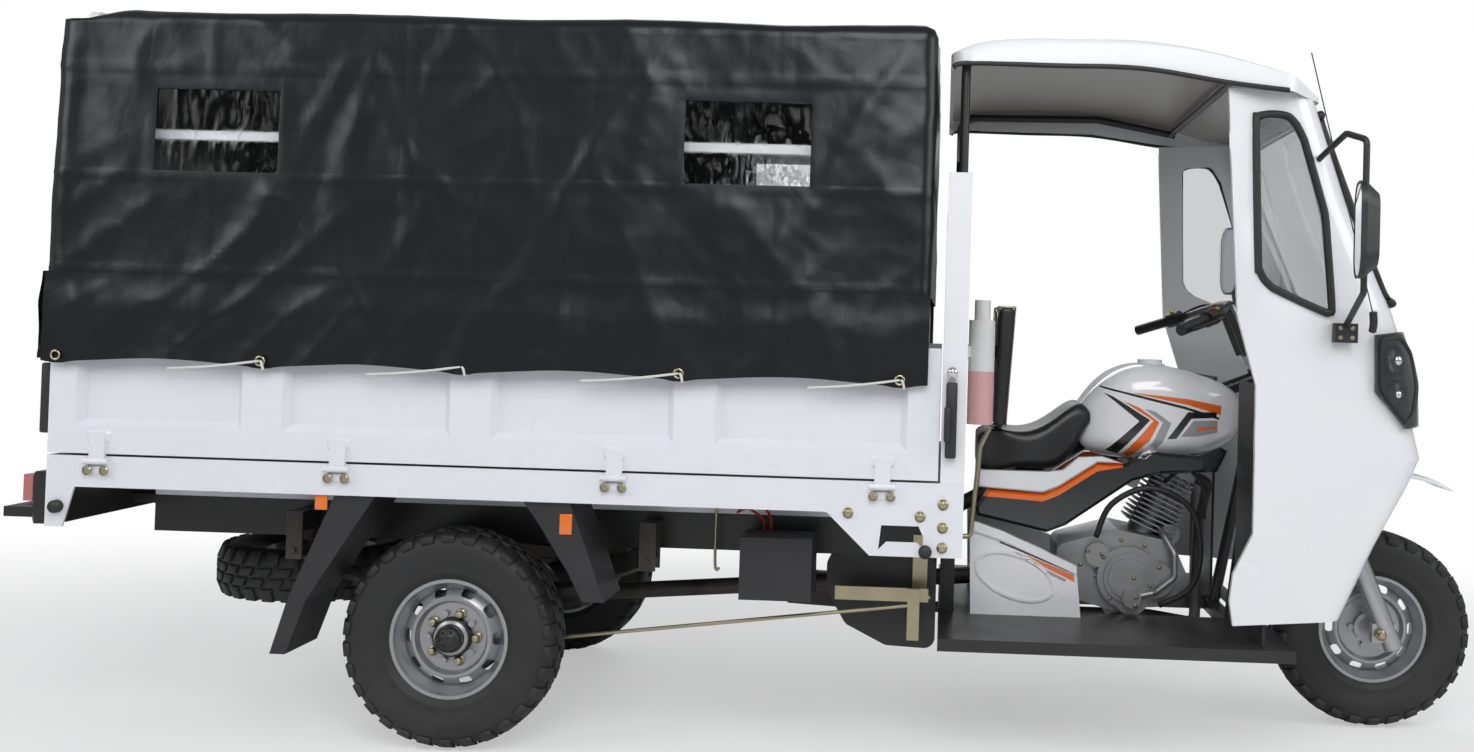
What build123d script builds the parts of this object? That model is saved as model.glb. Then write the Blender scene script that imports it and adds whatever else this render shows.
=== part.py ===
from build123d import *
import os
from math import cos, radians, sin, sqrt, tan

# Cargo motor tricycle: one steered front wheel under a cab shell, a saddle, and a drop-side load bed with
# a tied-down cover. X runs forward, Y to the vehicle's left, Z up from the ground. Millimetres.
# The origin is on the ground, in the middle of the length and width.
os.makedirs("parts", exist_ok=True)

# Axles and wheels
wheelbase = 2530
rear_axle_x = -817
front_axle_x = rear_axle_x + wheelbase
rear_track = 1080
tyre_radius = 284
tyre_width = 145
tread_width = 112
rim_seat_radius = 152
rim_flange_radius = 167
rim_width = 100
rim_wall = 4
disc_inner_y = 10
hub_radius = 50
stud_circle_radius = 63
front_stud_circle_radius = 55
stud_count = 5
nut_radius = 9
slot_count = 10
slot_circle_radius = 117
slot_length = 34
slot_depth = 19
wheel_gap = 0.3
spindle_radius = 20
bearing_gap = 0.05

# Load bed
bed_rear_x = rear_axle_x - 1033
bed_length = 2351
bed_half_width = 660
bed_floor_top = 735
bed_floor_thickness = 5
hoop_inset = 62
wear_sheet_clearance = 14
bed_rail_height = 80
bed_rail_width = 40
front_post_depth = 60
front_post_width = 55
front_post_top = 1518
front_post_bottom = 549
rear_leg_bottom = 552
rear_leg_top_width = 28
board_bevel = 14
side_height = 332
side_thickness = 28
side_sheet = 3
side_rib_width = 105
panel_gap = 6
hinge_radius = 8
hinge_stand_off = 12
hinge_pin_radius = 4
hinge_pad_width = 62
hinge_pad_height = 34

# Cover over the bed
cover_split_z = 1200
cover_top_z = 1912
cover_crown = 14
cover_shoulder_width = 46
cover_shoulder_drop = 40
cover_side_stand_off = 14
cover_taper = 24
cover_rear_stand_off = 17
cover_front_gap = 34
cover_thickness = 6
skirt_thickness = 4
skirt_gap = 6
skirt_bottom_z = 968
skirt_overlap = 10
hoop_tube = 24
hoop_top_z = 1894.8
side_rail_drop = 335
bow_flat_inset = 90
bow_shoulder_inset = 13
bow_shoulder_drop = 4.3
bow_end_drop = 14.3
seat_gap = 0.3
button_radius = 9
cover_window_width = 322
cover_window_height = 212
cover_window_bottom = 1472

# Chassis
chassis_rail_y = 330
chassis_rail_width = 50
chassis_rail_bottom = 500
chassis_rail_top = 600
chassis_rear_x = bed_rear_x + 110
deck_top = 325
deck_thickness = 6
deck_half_width = 560
sill_height = 32
sill_width = 40
deck_rear_x = rear_axle_x + 1262
deck_front_x = rear_axle_x + 2178
spring_y = 420
spring_half_length = 480
spring_eye_z = 470
spring_width = 50
leaf_thickness = 8
leaf_count = 5
axle_tube_radius = 38
backbone_radius = 22

# Seat and panels
fairing_y = 178

# Steering
rake_deg = 23
axle_lead = 26
leg_offset = 45
leg_y = 105
leg_radius = 27
stanchion_radius = 20
steer_head_low_z = 860
steer_head_high_z = 1040
bar_radius = 11
grip_radius = 16

# Cab
cab_wall = 16
cab_back_x = 1900
lamp_recess = 11
lamp_lip = 8
lamp_bulge = 14
cab_tube = 30
roof_skirt_z = 1640
roof_half_width = 606
roof_thickness = 10
glass_thickness = 4

bed_front_x = bed_rear_x + bed_length
hoop_half_width = bed_half_width - hoop_inset
wear_sheet_half = hoop_half_width - hoop_tube / 2 - wear_sheet_clearance
cover_half_width = bed_half_width + cover_side_stand_off
cover_top_half_width = cover_half_width - cover_taper
post_rear_x = bed_front_x - front_post_depth
panel_front_x = post_rear_x - panel_gap
panel_top_z = bed_floor_top + panel_gap + side_height
panel_bottom_z = bed_floor_top + panel_gap
axle_height = tyre_radius
hinge_z = bed_floor_top - hinge_radius - 4
rail_bottom_z = bed_floor_top - bed_rail_height
rake = radians(rake_deg)
standing = (Align.CENTER, Align.CENTER, Align.MIN)


def export(shape, name):
    """Writes one sub-part as its own file."""
    export_step(
        shape if isinstance(shape, Compound) else Compound(children=list(shape.solids())),
        f"parts/{name}.step",
    )


def from_axle(points):
    """Side-view points given from the rear axle, as points of the vehicle."""
    return [(rear_axle_x + x, z) for x, z in points]


def block(x0, x1, y0, y1, z0, z1):
    """A box between two corners."""
    return Pos((x0 + x1) / 2, (y0 + y1) / 2, (z0 + z1) / 2) * Box(abs(x1 - x0), abs(y1 - y0), abs(z1 - z0))


def side_plate(points, y0, y1, radius=0):
    """A plate whose outline is drawn in side view (x, z), from y0 to y1."""
    corners = [(x, y0, z) for x, z in points]
    wire = FilletPolyline(*corners, radius=radius, close=True) if radius else Polyline(*corners, close=True)
    return extrude(make_face(wire), amount=y1 - y0, dir=(0, 1, 0))


def plan_plate(points, z0, z1, radius=0):
    """A plate whose outline is drawn from above (x, y), from z0 to z1."""
    corners = [(x, y, z0) for x, y in points]
    wire = FilletPolyline(*corners, radius=radius, close=True) if radius else Polyline(*corners, close=True)
    return extrude(make_face(wire), amount=z1 - z0, dir=(0, 0, 1))


def rod(start, end, radius):
    """A round bar from one point to another."""
    start, end = Vector(*start), Vector(*end)
    along = end - start
    return Plane(origin=start, z_dir=along) * Cylinder(radius, along.length, align=standing)


def tube_run(points, radius, bend):
    """A round tube along straight runs with rounded bends."""
    path = FilletPolyline(*points, radius=bend) if bend else Polyline(*points)
    return sweep(Plane(origin=path @ 0, z_dir=path % 0) * Circle(radius), path=path)


def x_loft(sections):
    """A body lofted along x through rounded rectangles: x, half width, low z, high z, corner radius."""
    faces = []
    for x, half, low, high, corner in sections:
        plane = Plane(origin=(rear_axle_x + x, 0, (low + high) / 2), x_dir=(0, 1, 0), z_dir=(1, 0, 0))
        faces.append((plane * RectangleRounded(2 * half, high - low, corner)).face())
    return loft(faces, ruled=False)


def both_sides(shape):
    """The shape and its mirror image across the middle of the vehicle."""
    return shape + mirror(shape, about=Plane.XZ)


def pair(shape):
    """A left and a right copy that don't touch, as one compound."""
    return Compound(children=[*shape.solids(), *mirror(shape, about=Plane.XZ).solids()])


def revolve_y(points, closed=True):
    """A ring about the Y axis from an outline of (radius, y) points."""
    return revolve(
        make_face(Polyline(*[(r, y, 0) for r, y in points], close=closed)), axis=Axis.Y,
        revolution_arc=360,
    )


# Wheels. Each is made about its own centre with the outside towards +Y, then placed.
def tyre():
    half, tread = tyre_width / 2, tread_width / 2
    bore, bead = rim_seat_radius + wheel_gap, rim_width / 2 - 8.3
    shoulder = tyre_radius - 16
    lip = rim_flange_radius + 1.5
    edge = [
        Line((bore, -bead, 0), (bore, bead, 0)),
        Line((bore, bead, 0), (lip, bead, 0)),
        ThreePointArc((lip, bead, 0), ((lip + shoulder) / 2, half, 0), (shoulder, half - 8, 0)),
        Line((shoulder, half - 8, 0), (tyre_radius - 3, tread, 0)),
        ThreePointArc((tyre_radius - 3, tread, 0), (tyre_radius, 0, 0), (tyre_radius - 3, -tread, 0)),
        Line((tyre_radius - 3, -tread, 0), (shoulder, 8 - half, 0)),
        ThreePointArc((shoulder, 8 - half, 0), ((lip + shoulder) / 2, -half, 0), (lip, -bead, 0)),
        Line((lip, -bead, 0), (bore, -bead, 0)),
    ]
    return revolve(make_face(Wire(edge)), axis=Axis.Y, revolution_arc=360)


def rim():
    """A pressed steel wheel: flanges, drop well, a dished disc with slots, and a hub with nuts."""
    flange = rim_width / 2
    well = rim_seat_radius - 24
    barrel = revolve_y(
        [
            (rim_seat_radius - rim_wall, -flange + 8), (rim_flange_radius, -flange + 6),
            (rim_flange_radius, -flange),
            (rim_seat_radius - 6, -flange), (rim_seat_radius - 6 - rim_wall, -flange + 10), (well, -18),
            (well, 18), (rim_seat_radius - 6 - rim_wall, flange - 10), (rim_seat_radius - 6, flange),
            (rim_flange_radius, flange), (rim_flange_radius, flange - 6), (rim_seat_radius, flange - 8),
            (rim_seat_radius, 26), (well + rim_wall, 20), (well + rim_wall, -20), (rim_seat_radius, -26),
            (rim_seat_radius, -flange + 8),
        ]
    )
    disc = revolve_y(
        [
            (well + 1, 4), (well + 1, 10), (104, 30), (96, 31), (88, 16), (hub_radius - 2, 16),
            (hub_radius - 2, disc_inner_y),
            (85, disc_inner_y), (94, 24), (103, 23),
        ]
    )
    slot = extrude(
        Plane.XZ * Pos(slot_circle_radius, 0) * RectangleRounded(slot_depth, slot_length, 8), amount=60,
        both=True,
    )
    for turn in range(slot_count):
        disc -= Rot(0, turn * 360 / slot_count, 0) * slot
    return barrel + disc


def hub():
    """The hub barrel with its cap and five wheel nuts, and the brake drum behind the disc."""
    body = revolve_y([(0, -40), (hub_radius - 3, -40), (hub_radius - 3, 34), (34, 40), (30, 62), (0, 64)])
    body += revolve_y([(0, -66), (112, -66), (112, -22), (60, -8), (0, -8)])
    for turn in range(stud_count):
        turned = Rot(0, turn * 360 / stud_count, 0) * Pos(stud_circle_radius, 0, 0)
        body += turned * Pos(0, 22, 0) * Rot(90, 0, 0) * extrude(
            RegularPolygon(nut_radius, 6), amount=7, both=True
        )
        body += turned * Pos(0, 8, 0) * Rot(90, 0, 0) * Cylinder(6, 36)
    return body


print("wheels")
tyre_shape, rim_shape, hub_shape = tyre(), rim(), hub()
hub_shape -= rim_shape
hub_shape -= Pos(0, -40, 0) * Rot(90, 0, 0) * Cylinder(spindle_radius + bearing_gap, 60)
# The front hub has no drum proud of the fork leg.
front_hub = revolve_y([(0, -44), (40, -44), (hub_radius - 3, -30), (hub_radius - 3, 30), (36, 34), (0, 34)])
for turn in range(stud_count):
    stud = Pos(front_stud_circle_radius, 12, 0) * Rot(90, 0, 0) * Cylinder(nut_radius, 30)
    front_hub += Rot(0, turn * 360 / stud_count, 0) * stud
front_hub -= rim_shape
front_hub -= Rot(90, 0, 0) * Cylinder(10.05, 200)
wheels = {
    # name: (x, y, faces right)
    "rear_right": (rear_axle_x, -rear_track / 2, True),
    "rear_left": (rear_axle_x, rear_track / 2, False),
    "front": (front_axle_x, 0, True),
}
for name, (x, y, faces_right) in wheels.items():
    turn = Rot(0, 0, 180) if faces_right else Rot(0, 0, 0)
    place = Pos(x, y, axle_height) * turn
    export(place * tyre_shape, f"tyre_{name}")
    middle = front_hub if name == "front" else hub_shape
    export(Compound(children=[*(place * rim_shape).solids(), *(place * middle).solids()]), f"rim_{name}")

spare_x, spare_z = rear_axle_x - 612, 362
spare_place = Pos(spare_x, 0, spare_z) * Rot(90, 0, 0)
export(spare_place * tyre_shape, "spare_tyre")
export(spare_place * rim_shape, "spare_rim")

# Chassis: two long rails, cross members, and a drop frame under the engine up to the steering head.
print("chassis")
rail_end_x = deck_rear_x + 30


def steer_point(z, ahead=0.0):
    """A point on the steering axis at height z, moved square to the axis by ahead."""
    base_x = front_axle_x + axle_lead - leg_offset
    x = base_x - (z - axle_height) * tan(rake)
    return Vector(x + ahead / cos(rake), 0, z)


rail_half = chassis_rail_width / 2
frame = block(
    chassis_rear_x, rail_end_x, chassis_rail_y - rail_half, chassis_rail_y + rail_half,
    chassis_rail_bottom, chassis_rail_top,
)
frame = both_sides(frame)
cross_members = [
    # x offset from the rear axle, depth along x
    (-912, 40), (-330, 40), (330, 40), (700, 40), (1100, 50), (1265, 50),
]
for ahead, depth in cross_members:
    x = rear_axle_x + ahead
    frame += block(
        x - depth / 2, x + depth / 2, -chassis_rail_y, chassis_rail_y, chassis_rail_bottom + 15,
        chassis_rail_top - 5,
    )
# Drop legs from the rails to the cradle and the cradle rails
cradle_y, cradle_size = 190, 36
cradle_z = deck_top - deck_thickness - cradle_size / 2 - 0.3
frame += both_sides(
    block(
        deck_rear_x, deck_rear_x + 50, cradle_y - 18, chassis_rail_y + rail_half, chassis_rail_bottom,
        chassis_rail_bottom + 40,
    )
)
frame += both_sides(
    block(
        deck_rear_x + 4, deck_rear_x + 44, cradle_y - 18, cradle_y + 18, cradle_z - 18,
        chassis_rail_bottom + 20,
    )
)
frame += both_sides(
    block(deck_rear_x, deck_front_x - 60, cradle_y - 18, cradle_y + 18, cradle_z - 18, cradle_z + 18)
)
frame += block(deck_front_x - 96, deck_front_x - 60, -cradle_y, cradle_y, cradle_z - 18, cradle_z + 18)
frame += block(deck_rear_x + 300, deck_rear_x + 336, -cradle_y, cradle_y, cradle_z - 18, cradle_z + 18)
head_low, head_high = steer_point(steer_head_low_z), steer_point(steer_head_high_z)
for side in (1, -1):
    foot = Vector(deck_front_x - 78, side * 120, cradle_z)
    frame += rod(foot, steer_point(steer_head_low_z + 100) + Vector(-26, side * 18, 0), 17)
frame += rod(head_high + Vector(-16, 0, -40), (rear_axle_x + 1680, 0, 800), backbone_radius)
frame += rod((rear_axle_x + 1680, 0, 800), (rear_axle_x + 1290, 0, 585), backbone_radius)
head_axis = (head_high - head_low).normalized()
frame += rod(head_low, head_high, 32)
frame -= rod(head_low - head_axis * 20, head_high + head_axis * 20, 24.05)

# Carrier that clamps the spare wheel up under the rails
plate_top = spare_z + disc_inner_y - wheel_gap
carrier = Pos(spare_x, 0, plate_top - 4) * Cylinder(72, 8)
carrier += rod((spare_x, 0, plate_top - 30), (spare_x, 0, chassis_rail_bottom), 9)
carrier += block(
    rear_axle_x - 940, rear_axle_x - 310, -45, 45, chassis_rail_bottom - 14, chassis_rail_bottom + 14.7
)
export(Compound(children=[*frame.solids(), *carrier.solids()]), "chassis_frame")

# Footboard with its side sills
deck = block(
    deck_rear_x, deck_front_x, -deck_half_width, deck_half_width, deck_top - deck_thickness, deck_top
)
deck += both_sides(
    block(
        deck_rear_x, deck_front_x, deck_half_width - sill_width, deck_half_width,
        deck_top - sill_height, deck_top,
    )
)
# The engine and gearbox hang through the footboard
engine_x = rear_axle_x + 1812
deck -= block(engine_x - 260, deck_front_x - 45, -165, 165, deck_top - 50, deck_top + 50)
deck -= both_sides(
    block(deck_rear_x - 1, deck_rear_x + 45, cradle_y - 19, cradle_y + 19, deck_top - 20, deck_top + 20)
)
export(deck, "footboard")

# Rear axle with its housing and differential
drum_face = rear_track / 2 - 68
axle = rod((rear_axle_x, -drum_face, axle_height), (rear_axle_x, drum_face, axle_height), axle_tube_radius)
axle += Pos(rear_axle_x, 0, axle_height) * Rot(90, 0, 0) * Cylinder(105, 120)
spindle_end = rear_track / 2 - 12
axle += rod(
    (rear_axle_x, -spindle_end, axle_height), (rear_axle_x, spindle_end, axle_height), spindle_radius
)
axle += Pos(rear_axle_x, 0, axle_height) * Sphere(112) & block(
    rear_axle_x - 120, rear_axle_x + 120, -75, 75, axle_height - 120, axle_height + 120
)
axle += rod((rear_axle_x + 60, 0, axle_height + 8), (rear_axle_x + 175, 0, axle_height + 14), 36)
for side in (1, -1):
    axle += Pos(rear_axle_x, side * (drum_face - 4), axle_height) * Rot(90, 0, 0) * Cylinder(118, 8)
    axle += block(
        rear_axle_x - 60, rear_axle_x + 60, side * spring_y - 30, side * spring_y + 30,
        axle_height + 20, axle_height + axle_tube_radius + 6,
    )
export(axle, "rear_axle")

# Leaf springs with U-bolts: each leaf is a strip along an arc, shorter towards the bottom
spring_seat_z = axle_height + axle_tube_radius + 6.3
top_leaf_z = spring_seat_z + leaf_count * leaf_thickness
rise = spring_eye_z - top_leaf_z
arc_radius = (spring_half_length**2 + rise**2) / (2 * rise)


def leaf(level):
    half = spring_half_length * (1 - 0.17 * level)
    radius = arc_radius + level * leaf_thickness
    centre = (rear_axle_x, top_leaf_z + arc_radius)
    top = ring_arc(centre, radius, half)
    low = ring_arc(centre, radius + leaf_thickness, half)
    outline = Wire(
        [
            ThreePointArc(*top), Line(top[2], low[2]), ThreePointArc(low[2], low[1], low[0]),
            Line(low[0], top[0]),
        ]
    )
    return extrude(make_face(outline), amount=spring_width, dir=(0, 1, 0))


def ring_arc(centre, radius, half):
    """Three points of an arc about centre, at the spring's inner face, reaching half to either side."""
    drop = sqrt(radius**2 - half**2)
    y = spring_y - spring_width / 2
    return [
        Vector(centre[0] - half, y, centre[1] - drop), Vector(centre[0], y, centre[1] - radius),
        Vector(centre[0] + half, y, centre[1] - drop),
    ]


spring = leaf(0)
for level in range(1, leaf_count):
    spring += leaf(level)
for end in (1, -1):
    eye = (rear_axle_x + end * spring_half_length, spring_y, spring_eye_z + 6)
    spring += Pos(*eye) * Rot(90, 0, 0) * Cylinder(20, spring_width)
    hanger_top = chassis_rail_bottom - 0.3
    spring += block(
        eye[0] - 22, eye[0] + 22, spring_y - 34, spring_y - 26, spring_eye_z - 18, hanger_top + 70
    )
    spring += block(
        eye[0] - 22, eye[0] + 22, spring_y + 26, spring_y + 34, spring_eye_z - 18, hanger_top + 70
    )
    spring += block(
        eye[0] - 22, eye[0] + 22, chassis_rail_y + rail_half + 0.3, spring_y + 34,
        chassis_rail_bottom + 26, chassis_rail_top - 20,
    )
    spring += Pos(*eye) * Rot(90, 0, 0) * Cylinder(8, spring_width + 36)
export(pair(spring), "leaf_springs")

# Propeller shaft from the gearbox to the axle nose
shaft_front = (rear_axle_x + 1520, 0, 405)
shaft_rear = (rear_axle_x + 176, 0, axle_height + 14)
shaft = rod(shaft_rear, shaft_front, 24)
shaft += rod(shaft_rear, (rear_axle_x + 216, 0, axle_height + 17), 40)
shaft += rod((rear_axle_x + 1470, 0, 401), shaft_front, 40)
export(shaft, "propeller_shaft")

# Engine and gearbox, with the finned barrel leaning forward
print("engine")
engine_z = 450
case_half = 130
case = side_plate(
    [
        (engine_x - 200, engine_z - 80), (engine_x - 60, engine_z - 120), (engine_x + 110, engine_z - 105),
        (engine_x + 165, engine_z - 20), (engine_x + 120, engine_z + 80), (engine_x - 40, engine_z + 110),
        (engine_x - 215, engine_z + 60),
    ],
    -case_half, case_half, 30,
)
# Feet that rest on the cradle's cross tube
case += block(engine_x - 50, engine_x + 10, 18.3 - cradle_y, cradle_y - 18.3, 288, 314)
case += block(engine_x - 50, engine_x + 10, -100, 100, 300, 380)
# The clutch cover with its round cap, the water pump below it, and the alternator cover on the other side
cover_x, cover_z = engine_x - 10, engine_z - 22
cover_face = Pos(cover_x, cover_z) * Circle(88) + Pos(cover_x + 78, cover_z - 4) * Circle(52)
cover_face += Pos(cover_x - 88, cover_z + 62) * Circle(34) + Pos(cover_x + 12, cover_z - 62) * Circle(46)
case += extrude(Plane(origin=(0, -case_half, 0), x_dir=(1, 0, 0), z_dir=(0, -1, 0)) * cover_face, amount=26)
for radius, proud in ((70, 34), (57, 40)):
    case += Pos(cover_x, -case_half - proud / 2, cover_z) * Rot(90, 0, 0) * Cylinder(radius, proud)
pump = Vector(cover_x + 9, -case_half - 34, cover_z - 54)
case += Pos(*pump) * Rot(90, 0, 0) * Cylinder(27, 44)
case += Pos(cover_x, case_half + 14, cover_z) * Rot(90, 0, 0) * Cylinder(90, 28)
case += rod((engine_x + 120, -70, engine_z + 92), (engine_x + 120, 60, engine_z + 92), 30)
# Coolant pipe from the pump round the front of the cover and up to the barrel
case += tube_run(
    [
        tuple(pump + Vector(0, -8, 0)), tuple(pump + Vector(66, -8, 16)), tuple(pump + Vector(122, -8, 62)),
        tuple(pump + Vector(120, -8, 128)), tuple(pump + Vector(92, 30, 176)),
        tuple(pump + Vector(92, 100, 186)),
    ],
    9, 22,
)
lean = 24
barrel_base = Vector(engine_x + 50, 0, engine_z + 80)
barrel_dir = Vector(sin(radians(lean)), 0, cos(radians(lean)))
barrel_place = Plane(
    origin=barrel_base, z_dir=barrel_dir, x_dir=(cos(radians(lean)), 0, -sin(radians(lean)))
)
barrel = barrel_place * Cylinder(52, 220, align=standing)
fin_count, fin_pitch, fin_start = 12, 14.5, 30
for i in range(fin_count):
    fin = extrude(RectangleRounded(150 - i * 1.5, 172 - i * 2, 22), amount=4)
    barrel += barrel_place * Pos(0, 0, fin_start + i * fin_pitch) * fin
barrel += barrel_place * Pos(0, 0, fin_start + fin_count * fin_pitch + 19) * Box(118, 128, 40)
# The carburettor on its stub behind the barrel
carb_place = barrel_place * Pos(-104, 0, fin_start + fin_count * fin_pitch - 22)
barrel += carb_place * Rot(0, 90, 0) * Cylinder(24, 110)
barrel += carb_place * Cylinder(27, 74)
barrel += carb_place * Pos(0, 0, -48) * Box(52, 52, 40)
export(case + barrel, "engine")

# Exhaust: header from the head, down through the footboard and back to a silencer under the bed
head_along = fin_start + fin_count * fin_pitch + 18
port_dir = Vector(cos(radians(lean)), 0, -sin(radians(lean)))
head_port = barrel_base + barrel_dir * head_along + port_dir * 59.3
pipe_z = deck_top - 78
pipe_x = engine_x + 240
pipe = tube_run(
    [
        tuple(head_port), tuple(head_port + port_dir * 50), (pipe_x, 130, engine_z + 110),
        (pipe_x - 5, 130, pipe_z),
        (pipe_x - 130, 232, pipe_z), (rear_axle_x + 1236, 232, pipe_z),
    ],
    17, 26,
)
silencer = rod((rear_axle_x + 1240, 240, pipe_z + 30), (rear_axle_x + 790, 240, pipe_z + 50), 55)
export(pipe + silencer, "exhaust")

# Battery in its tray, and a rounded tank box ahead of it
battery = block(rear_axle_x + 742, rear_axle_x + 930, -545, -400, 404, 566)
battery += block(rear_axle_x + 760, rear_axle_x + 790, -400, -chassis_rail_y - rail_half - 0.3, 520, 560)
tank_box = side_plate(
    [
        (rear_axle_x + 955, chassis_rail_bottom - 0.3), (rear_axle_x + 955, 400), (rear_axle_x + 1010, 310),
        (rear_axle_x + 1120, 256), (rear_axle_x + 1255, 250),
        (rear_axle_x + 1255, chassis_rail_bottom - 0.3),
    ],
    -352, -70, 30,
)
export(Compound(children=[*battery.solids(), *tank_box.solids()]), "side_boxes")

# Brake linkage: the pull rod, its bell crank and bracket, and the hand lever beside the saddle
linkage_y = -440
rod_front = (rear_axle_x + 1195, linkage_y, 385)
rod_rear = (rear_axle_x + 130, linkage_y, 250)
linkage = rod(rod_rear, rod_front, 5)
linkage += block(rear_axle_x + 985, rear_axle_x + 1235, linkage_y + 6, linkage_y + 12, 392, 428)
linkage += block(rear_axle_x + 1180, rear_axle_x + 1212, linkage_y - 5, linkage_y + 12, 292, 428)
linkage += block(
    rear_axle_x + 1000, rear_axle_x + 1240, linkage_y + 12, -chassis_rail_y - rail_half - 0.3, 400, 408
)
linkage += block(
    rear_axle_x + 1190, rear_axle_x + 1230, -chassis_rail_y - rail_half - 8,
    -chassis_rail_y - rail_half - 0.3, 400, 560,
)
linkage += rod((rear_axle_x + 120, linkage_y, 262), (rear_axle_x + 120, -drum_face + 8.3, 262), 8)
lever_rod = tube_run(
    [
        (rail_end_x + 1, -318, 550), (rear_axle_x + 1345, -318, 556), (rear_axle_x + 1367, -300, 800),
        (rear_axle_x + 1390, -300, 850),
    ],
    7, 12,
)
export(Compound(children=[*linkage.solids(), *lever_rod.solids()]), "brake_linkage")

# Rear mud flaps: a bent black strap each side of the wheels with a flap below
flap_y0, flap_y1 = -bed_half_width + 10, -bed_half_width + 190
rear_flap = side_plate(
    [
        (rear_axle_x - 285, rail_bottom_z - 0.3), (rear_axle_x - 300, 620), (rear_axle_x - 400, 380),
        (rear_axle_x - 440, 245),
        (rear_axle_x - 400, 245), (rear_axle_x - 350, 385), (rear_axle_x - 215, 600),
        (rear_axle_x - 180, rail_bottom_z - 0.3),
    ],
    flap_y0, flap_y1,
)
front_flap = side_plate(
    [
        (rear_axle_x + 200, rail_bottom_z - 0.3), (rear_axle_x + 235, 610), (rear_axle_x + 320, 480),
        (rear_axle_x + 360, 405),
        (rear_axle_x + 415, 405), (rear_axle_x + 370, 530), (rear_axle_x + 320, rail_bottom_z - 0.3),
    ],
    flap_y0, flap_y1,
)
export(Compound(children=[*pair(rear_flap).solids(), *pair(front_flap).solids()]), "mud_flaps")

# Load bed: a white rail ring with rear legs and front gussets, floor, and bearers below
print("bed")
rib_centres = [bed_rear_x + 555, bed_rear_x + 1094, bed_rear_x + 1666]
hinge_xs = [bed_rear_x + 135, bed_rear_x + 759, bed_rear_x + 1468, bed_rear_x + 2146]
gate_hinge_ys = (-470, 0, 470)
# The cover's eyelets turn over buttons on the drop sides and the gate
button_xs = [bed_rear_x + 31, bed_rear_x + 561, bed_rear_x + 1077, bed_rear_x + 1628, bed_rear_x + 2183]
gate_button_ys = (-560, 0, 560)
knuckle_half = 20


def fixed_hinge(place, turn):
    """The still half of a hinge on a pin along X: two knuckles on the ends of a leaf, and the pin."""
    half = Rot(0, 90, 0) * Cylinder(hinge_pin_radius, 2 * knuckle_half + 24)
    for end in (1, -1):
        half += Pos(end * (knuckle_half + 6.3), 0, 0) * Rot(0, 90, 0) * Cylinder(hinge_radius, 12)
        half += block(end * (knuckle_half + 0.3), end * (knuckle_half + 12.3), 2, hinge_stand_off, -30, 0)
    half += block(
        -knuckle_half - 12, knuckle_half + 12, hinge_stand_off - 4, hinge_stand_off, -32,
        -hinge_radius - 5,
    )
    return place * Rot(0, 0, turn) * half


ring_inner = bed_half_width - bed_rail_width
right_rail = side_plate(
    [
        (bed_rear_x, bed_floor_top), (bed_rear_x, rear_leg_bottom), (bed_rear_x + 46, rear_leg_bottom),
        (bed_rear_x + rear_leg_top_width + 46, rail_bottom_z), (bed_rear_x + 2007, rail_bottom_z),
        (bed_rear_x + 2118, front_post_bottom), (bed_front_x, front_post_bottom),
        (bed_front_x, bed_floor_top),
    ],
    -bed_half_width, -bed_half_width + 6,
)
slot_hole = side_plate(
    [
        (bed_rear_x + 2140, 565), (bed_rear_x + 2146, 626), (bed_rear_x + 2240, 626),
        (bed_rear_x + 2252, 600),
        (bed_rear_x + 2252, 572), (bed_rear_x + 2236, 585), (bed_rear_x + 2160, 585),
    ],
    -bed_half_width - 5, -bed_half_width + 20,
)
right_rail -= slot_hole
right_rail += block(
    bed_rear_x, bed_front_x - front_post_depth, -bed_half_width, -ring_inner, rail_bottom_z,
    bed_floor_top - bed_floor_thickness,
)
bed = both_sides(right_rail)
bed += block(
    bed_rear_x, bed_rear_x + 40, -ring_inner, ring_inner, rail_bottom_z,
    bed_floor_top - bed_floor_thickness,
)
bearer_xs = [bed_rear_x + 180, bed_rear_x + 640, bed_rear_x + 1100, bed_rear_x + 1560, bed_rear_x + 2020]
for x in bearer_xs:
    bed += block(x, x + 50, -ring_inner, ring_inner, rail_bottom_z, bed_floor_top - bed_floor_thickness)
for side in (1, -1):
    bed += block(
        chassis_rear_x, post_rear_x, side * chassis_rail_y - 25, side * chassis_rail_y + 25,
        chassis_rail_top, bed_floor_top - bed_floor_thickness,
    )
bed += block(
    post_rear_x - 40, post_rear_x, -ring_inner, ring_inner, rail_bottom_z,
    bed_floor_top - bed_floor_thickness,
)
for side, hinge_y in ((1, bed_half_width + hinge_stand_off), (-1, -bed_half_width - hinge_stand_off)):
    for x in hinge_xs:
        bed += fixed_hinge(Pos(x, hinge_y, hinge_z), 0 if side < 0 else 180)
for y in gate_hinge_ys:
    bed += fixed_hinge(Pos(bed_rear_x - hinge_stand_off, y, hinge_z), -90)
export(bed, "bed_frame")

floor_half = bed_half_width - 6.3
floor = block(
    bed_rear_x, post_rear_x, -floor_half, floor_half, bed_floor_top - bed_floor_thickness, bed_floor_top
)
# A wear sheet between the hoops' feet
floor += block(
    bed_rear_x + 36, post_rear_x - 30, -wear_sheet_half, wear_sheet_half, bed_floor_top,
    bed_floor_top + 2,
)
export(floor, "bed_floor")

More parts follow.
